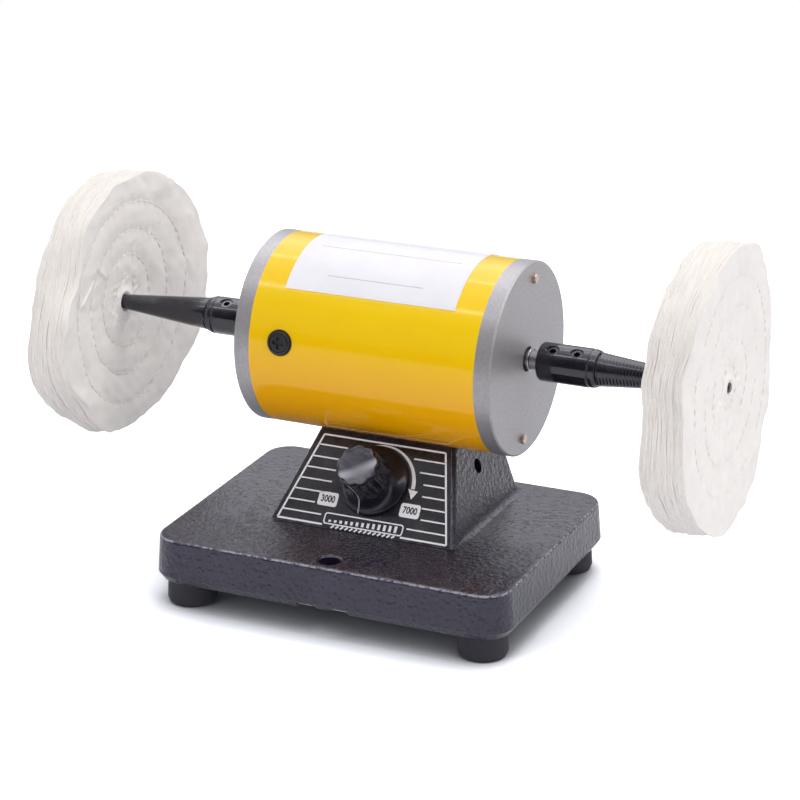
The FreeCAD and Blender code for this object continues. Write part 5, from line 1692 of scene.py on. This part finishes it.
@dataclass
class Motor:
    """Tube motor: its outside, all that it holds, and a retaining ring on each shaft end (millimetres, degrees)."""
    ring_x: float = 58.2
    ring_r: float = 4.5
    ring_half: tuple[float, float] = (0.4, 0.42)     # half the wire, along and across the shaft
    ring_gap_deg: float = 56.0
    ring_turn: float = 1.2               # radians
    ring_points: int = 60
    clock_deg: float = 10.0
    sticker_r: float = 40.25
    rule_half_deg: float = 0.22
    # height of each rule on the clock of the motor, and where it starts and ends
    rules_at: tuple[tuple[float, float, float], ...] = ((54.1, -21.0, 21.0), (78.7, -31.0, 31.0), (96.0, -34.6, 36.3))

    def ring(self, side: int) -> bpy.types.Object:
        """Open spring ring that lies in its groove beside the end plate.

        Args:
            side: 1 for the right end, -1 for the left.

        Returns:
            The ring.
        """
        gap = self.ring_gap_deg / 2
        turn = np.radians(np.linspace(gap, 360 - gap, self.ring_points)) + self.ring_turn
        along, across = self.ring_half
        section = [(self.ring_x + along * math.cos(a), self.ring_r + across * math.sin(a)) for a in circle(8)]
        heap = Heap()
        heap.grid(np.stack([about_spindle(side * x, r, turn) for x, r in section]), close_rows=True,
                  close_columns=False)
        return heap.object("retaining_ring_" + ("right" if side > 0 else "left"))

    def rules(self) -> bpy.types.Object:
        """Thin empty rules along the bare sticker.

        Returns:
            The rules as one object.
        """
        heap = Heap()
        for clock_deg, *ends in self.rules_at:
            half = self.rule_half_deg
            turn = math.pi - np.radians(clock_deg + np.array([-half, half]))
            heap.grid(np.stack([about_spindle(x, self.sticker_r, turn) for x in ends]), close_columns=False)
        return heap.object("sticker_rules", smooth=False)

    def build(self) -> None:
        """Dress the motor's nodes and add the rings, caps and rules."""
        keep_shapes({
            "yellow_paint": "motor_housing", "satin_aluminium": "end_plate_left end_plate_right",
            "passivated_steel": "through_bolts", "sticker_paper": "rating_sticker",
            "black_plastic": "brush_holder_front brush_holder_rear", "ferrite": "magnet_front magnet_rear",
            "carbon": "brush_front brush_rear", "laminations": "armature_core",
            "winding_enamel": "armature_windings", "copper": "commutator", "lead_red": "motor_leads",
            "oxide_steel": "spindle_screws motor_screws",
            "bright_steel": "wave_washer brush_springs motor_shaft bearing_left_outer bearing_left_inner "
                            "bearing_left_balls bearing_right_outer bearing_right_inner bearing_right_balls"})
        for side in (-1, 1):
            finished(self.ring(side), "rotor", "bright_steel")
        for name, clock_deg in (("front", self.clock_deg), ("rear", 180 + self.clock_deg)):
            BrushCap(name, clock_deg).build()
        finished(self.rules(), "root", "faded_ink")


# ---------------------------------------------------------------- stand
@dataclass
class Stand:
    """Plinth with its cover, feet, gland and speed control (millimetres, degrees)."""
    top: float = 30.2
    half_w: float = 41.5
    front_y: float = -27.0
    rear_y: float = 39.15
    corner: float = 2.5
    lean_deg: float = 18.7
    rear_lean_deg: float = 1.15
    blend: float = 3.2
    blend_ends: tuple[float, float] = (0.12, 2.2)        # share of it at each end, and points until it is full
    buried: tuple[float, float] = (1.2, 0.6)             # how far it reaches into the wall and the floor
    sink: float = 0.015                                  # how far it is let into the floor

    def foot_path(self) -> list[tuple[float, float, float, float]]:
        """Line on which the pedestal's sides and rear stand, from front right to front left.

        Returns:
            x, y, way outwards and lean of the wall at each point.
        """
        path = [(self.half_w, float(y), 0.0, self.lean_deg)
                for y in np.linspace(self.front_y, self.rear_y - self.corner, 12)]
        for angle in np.linspace(15, 75, 5):
            a = math.radians(angle)
            path.append((self.half_w - self.corner + self.corner * math.cos(a),
                         self.rear_y - self.corner + self.corner * math.sin(a), float(angle),
                         self.lean_deg + (self.rear_lean_deg - self.lean_deg) * float(angle) / 90))
        path += [(float(x), self.rear_y, 90.0, self.rear_lean_deg)
                 for x in np.linspace(self.half_w - self.corner, 0, 8)]
        return path + [(-x, y, 180 - way, lean) for x, y, way, lean in path[-2::-1]]

    def section(self, size: float, lean_deg: float) -> list[tuple[float, float]]:
        """Closed section of the hollow radius, between the floor and the wall.

        Args:
            size: its radius.
            lean_deg: how far the wall leans from upright.

        Returns:
            How far out and how far up each point is.
        """
        reach = size * math.tan(math.radians(90 - lean_deg) / 2)
        points = []
        for step in range(9):
            angle = math.radians(-90 - (90 - lean_deg) * step / 8)
            points.append((reach + size * math.cos(angle), size + size * math.sin(angle) - self.sink))
        back, down = self.buried
        return points + [(points[-1][0] - back, points[-1][1]), (-back, -down), (points[0][0], -down)]

    def foot_blend(self) -> bpy.types.Object:
        """Hollow cast radius where the pedestal's sides and rear stand on the plinth.

        Returns:
            The radius as one closed strip.
        """
        path, rows = self.foot_path(), []
        thin, full_after = self.blend_ends
        for number, (x, y, way, lean) in enumerate(path):
            near_end = min(number, len(path) - 1 - number)
            size = self.blend * min(1.0, thin + near_end / full_after)
            out_x, out_y = math.cos(math.radians(way)), math.sin(math.radians(way))
            rows.append([(x + out_x * d, y + out_y * d, self.top + h) for d, h in self.section(size, lean)])
        across = len(rows[0])
        heap = Heap()
        heap.grid(np.array(rows) * MM)
        heap.add(np.array([rows[0], rows[-1]]) * MM,
                 [tuple(range(across)), tuple(range(2 * across - 1, across - 1, -1))])
        return creased(heap.object("pedestal_foot_blend"), 50)

    def build(self) -> None:
        """Dress the stand's nodes and add the cast radius."""
        keep_shapes({
            "hammered_paint": "base_casting",
            "foot_rubber": "foot_front_left foot_front_right foot_rear_left foot_rear_right",
            "zinc_steel": "bottom_cover foot_screws cover_screws pot_washer pot_nut board_screws",
            "black_plastic": "cable_gland gland_nut", "printed_plate": "speed_label",
            "satin_aluminium": "pot_body pot_shaft heat_sink", "board_laminate": "circuit_board",
            "bright_steel": "board_standoffs", "capacitor_sleeve": "capacitor",
            "epoxy": "power_transistor rectifier", "terminal_plastic": "terminal_block", "fuse_glass": "fuse",
            "lead_red": "pot_leads"})
        finished(self.foot_blend(), "root", "hammered_paint")


# ---------------------------------------------------------------- studio
@dataclass
class Lamp:
    """Soft square lamp: where it stands, what it points at, its size and power (metres, watts)."""
    name: str
    place: tuple[float, float, float]
    size: float
    power: float
    target: tuple[float, float, float] = (0.0, 0.0, 0.06)

    def build(self) -> None:
        """Hang the lamp; the reflections come from the tent round the set."""
        data = bpy.data.lights.new(self.name, "AREA")
        data.shape, data.size, data.energy = "SQUARE", self.size, self.power
        lamp = placed(self.name, data)
        way = Vector(self.target) - Vector(self.place)
        lamp.matrix_world = Matrix.Translation(self.place) @ way.to_track_quat("-Z", "Y").to_matrix().to_4x4()
        lamp.visible_glossy = lamp.visible_camera = False


@dataclass
class Studio:
    """White floor, pale tent that gloss shows, soft lamps and the camera (metres, degrees)."""
    eye: tuple[float, float, float] = (0.4589, -0.98085, 0.4842)
    azimuth: float = 24.86
    elevation: float = 20.56
    roll: float = -0.59
    lens: float = 126.57                 # millimetres, as the sensor
    sensor: float = 36.0
    ambient: float = 0.43
    gloss: float = 6.0                   # level of the tent's white, in gloss
    floor_half: float = 6.0
    floor_gain: float = 1.75             # how much paler the eye sees the floor
    contact: tuple[float, float, float] = (0.15, 0.78, 0.3)      # openness in and off the painted contact shadow, and its level
    contact_reach: float = 0.05
    floor_gloss_gain: float = 1.15       # how much paler gloss shows it
    floor_reach: tuple[float, float] = (0.42, 0.95)      # where the floor turns from lit to plain white
    lamps: tuple[Lamp, ...] = (
        Lamp("overhead", (0.34, 0.50, 1.5), 1.2, 15.2),
        Lamp("right", (1.5, -0.55, 1.0), 0.9, 8.0),
        Lamp("front_left", (-0.9, -1.5, 0.9), 0.9, 9.0))
    # level of the tent by angle about X: 0 is the front horizon, 90 overhead; two bright seams at 66 and 109
    levels: tuple[tuple[float, float], ...] = (
        (-180, 0.045), (-90, 0.12), (-10, 0.010), (20, 0.010), (40, 0.02), (50, 0.06), (62, 0.13), (63.8, 0.16),
        (64.6, 1.0), (67.4, 1.0), (68.2, 0.18), (84, 0.21), (98, 0.29), (106.8, 0.31), (107.6, 1.0),
        (110.4, 1.0), (111.2, 0.42), (140, 0.42), (158, 0.135), (180, 0.045))

    def camera(self) -> None:
        """Place the camera."""
        a, e, r = (math.radians(v) for v in (self.azimuth, self.elevation, self.roll))
        back = Vector((math.sin(a) * math.cos(e), -math.cos(a) * math.cos(e), math.sin(e)))
        right = (-back).cross(Vector((0, 0, 1))).normalized()
        up = right.cross(-back)
        across = right * math.cos(r) + up * math.sin(r)
        above = up * math.cos(r) - right * math.sin(r)
        data = bpy.data.cameras.new("camera")
        data.sensor_width, data.lens = self.sensor, self.lens
        data.clip_start, data.clip_end = 0.05, 50.0
        camera = placed("camera", data)
        turn = Matrix((across, above, back)).transposed().to_4x4()
        camera.matrix_world = Matrix.Translation(self.eye) @ turn
        bpy.context.scene.camera = camera

    def floor_material(self) -> bpy.types.Material:
        """White floor that keeps the lamps' shadow, adds a contact shadow painted from ambient occlusion near the
        machine, and is plain white far off.

        Returns:
            The material.
        """
        made = bpy.data.materials.new("white_floor")
        made.use_nodes = True
        g = Graph(made.node_tree)
        paths = g.add("LightPath").outputs
        camera = paths["Is Camera Ray"]
        seen = g.maths("MAXIMUM", camera, g.maths("MAXIMUM", paths["Is Glossy Ray"], paths["Is Transmission Ray"]))
        grain = g.noise(g.place(), 40.0, 2.0)
        colour = g.mix(g.span(grain, 0.3, 0.7), rgb(238, 240, 246), rgb(242, 243, 248))
        # painted contact shadow: ambient occlusion darkens the floor near the machine
        near = g.add("AmbientOcclusion", {"Distance": self.contact_reach}, samples=12).outputs["AO"]
        open_share = g.span(near, *self.contact, self.floor_gain)
        direct = g.product(g.maths("SUBTRACT", open_share, 1.0), camera)
        mirrored = g.product(g.maths("SUBTRACT", seen, camera), self.floor_gloss_gain - 1)
        matt = g.add("BsdfDiffuse", {"Color": g.scaled(colour, g.total(direct, mirrored, 1.0))})
        white = g.add("Emission", {"Color": (1, 1, 1, 1), "Strength": 1.0})
        away = g.span(g.vector("LENGTH", g.place()), *self.floor_reach)
        both = g.add("MixShader", {0: g.product(seen, away), 1: matt.outputs[0], 2: white.outputs[0]})
        g.add("OutputMaterial", {0: both.outputs[0]})
        return made

    def floor(self) -> None:
        """Lay the floor."""
        half = self.floor_half
        corners = np.array([(-half, -half, 0), (half, -half, 0), (half, half, 0), (-half, half, 0)])
        floor = mesh_object("floor", corners, [(0, 1, 2, 3)], smooth=False)
        floor.data.materials.append(self.floor_material())

    def tent_ramp(self, g: Graph) -> Socket:
        """Colour of the tent by angle about X.

        Args:
            g: the world's graph.

        Returns:
            The colour's socket.
        """
        _, y, z = g.parts(g.add("TexCoord").outputs["Generated"])
        angle = g.maths("ARCTAN2", z, g.product(y, -1.0))
        ramp = g.add("ValToRGB", {0: g.total(g.maths("DIVIDE", angle, TAU), 0.5)})
        held = ramp.color_ramp.elements
        while len(held) > 1:
            held.remove(held[-1])
        held[0].position, held[0].color = 0.0, (self.levels[0][1],) * 3 + (1.0,)
        for degrees, level in self.levels[1:]:
            held.new(degrees / 360 + 0.5).color = (0.97 * level, 0.97 * level, min(1.0, 1.04 * level), 1.0)
        return ramp.outputs[0]

    def tent(self) -> None:
        """World: white to the eye, even light for matt surfaces, a graded tent for gloss."""
        world = bpy.data.worlds.new("tent")
        bpy.context.scene.world = world
        world.use_nodes = True
        g = Graph(world.node_tree)
        paths = g.add("LightPath").outputs
        even = g.add("Background", {"Color": (0.97, 0.98, 1.0, 1.0), "Strength": self.ambient})
        gloss = g.add("Background", {"Color": self.tent_ramp(g), "Strength": self.gloss})
        white = g.add("Background", {"Color": (1.0, 1.0, 1.0, 1.0), "Strength": 1.0})
        lit = g.add("MixShader", {0: paths["Is Glossy Ray"], 1: even.outputs[0], 2: gloss.outputs[0]})
        seen = g.maths("MAXIMUM", paths["Is Camera Ray"], paths["Is Transmission Ray"])
        both = g.add("MixShader", {0: seen, 1: lit.outputs[0], 2: white.outputs[0]})
        g.add("OutputWorld", {0: both.outputs[0]})

    def build(self) -> None:
        """Set up camera, floor, tent and lamps."""
        self.camera()
        self.floor()
        self.tent()
        for lamp in self.lamps:
            lamp.build()
        bpy.context.scene.view_settings.view_transform = "Standard"
        log.info("studio set with %d lamps", len(self.lamps))


# ---------------------------------------------------------------- the whole machine
def both_buffs() -> tuple[Buff, Buff]:
    """The right and the left buff, each with the outlines of its own worn rim.

    Returns:
        Both buffs, still to be built.
    """
    right = Buff(
        1, (56, 57, 57, 57, 56.5, 56, 57, 57.8, 58, 59.6, 58.4, 55.5, 58, 62.5, 62, 59.5, 59, 59.8, 61, 60, 58, 57,
            57, 56.5),
        (50.5, 54.5, 55.2, 56.3, 58.4, 57.2, 57.6, 58.3, 58.5, 59.3, 58.4, 57.6, 56.3, 57.6, 58, 57.4, 58, 59.5,
         60.7, 60.3, 61.2, 56.5, 54, 53.5), leans=(Lean(15, 40, 0.8), Lean(162, 9, 1.6)), seed=11)
    left = Buff(
        -1, (62, 61.5, 60.5, 59, 57.5, 56, 54.6, 54.3, 54, 53, 48.5, 53, 58.8, 58, 55.8, 54.8, 56.5, 55.5, 54.4, 55,
             56.8, 58, 62, 61.5),
        (58, 58, 58, 57, 56, 55, 54.6, 54.4, 54.3, 53.9, 54.1, 54.5, 57.5, 60.4, 58.5, 56, 55.2, 58, 59.5, 57.5, 57,
         57.5, 58, 58),
        folds=(Fold(157.7, 37.7, -146, 7.0, 1.7, 0.85), Fold(138.6, 29.0, -35.9, 7.3, 2.0, 0.7),
               Fold(211.8, 55, -46.8, 10.4, 3.0, 1.2)),
        leans=(Lean(0, 40, 3.0),), dish=4.0, seed=5)
    return right, left


def main() -> None:
    """Build the studio and every sub-assembly."""
    logging.basicConfig(level=logging.INFO, format="%(message)s")
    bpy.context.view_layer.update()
    for assembly in (Studio(), Stand(), Motor(), Dial(), Spindle(1, 60.0), Spindle(-1, 66.0, thread_depth=0.0),
                     *both_buffs()):
        assembly.build()


if __name__ == "__main__":
    main()
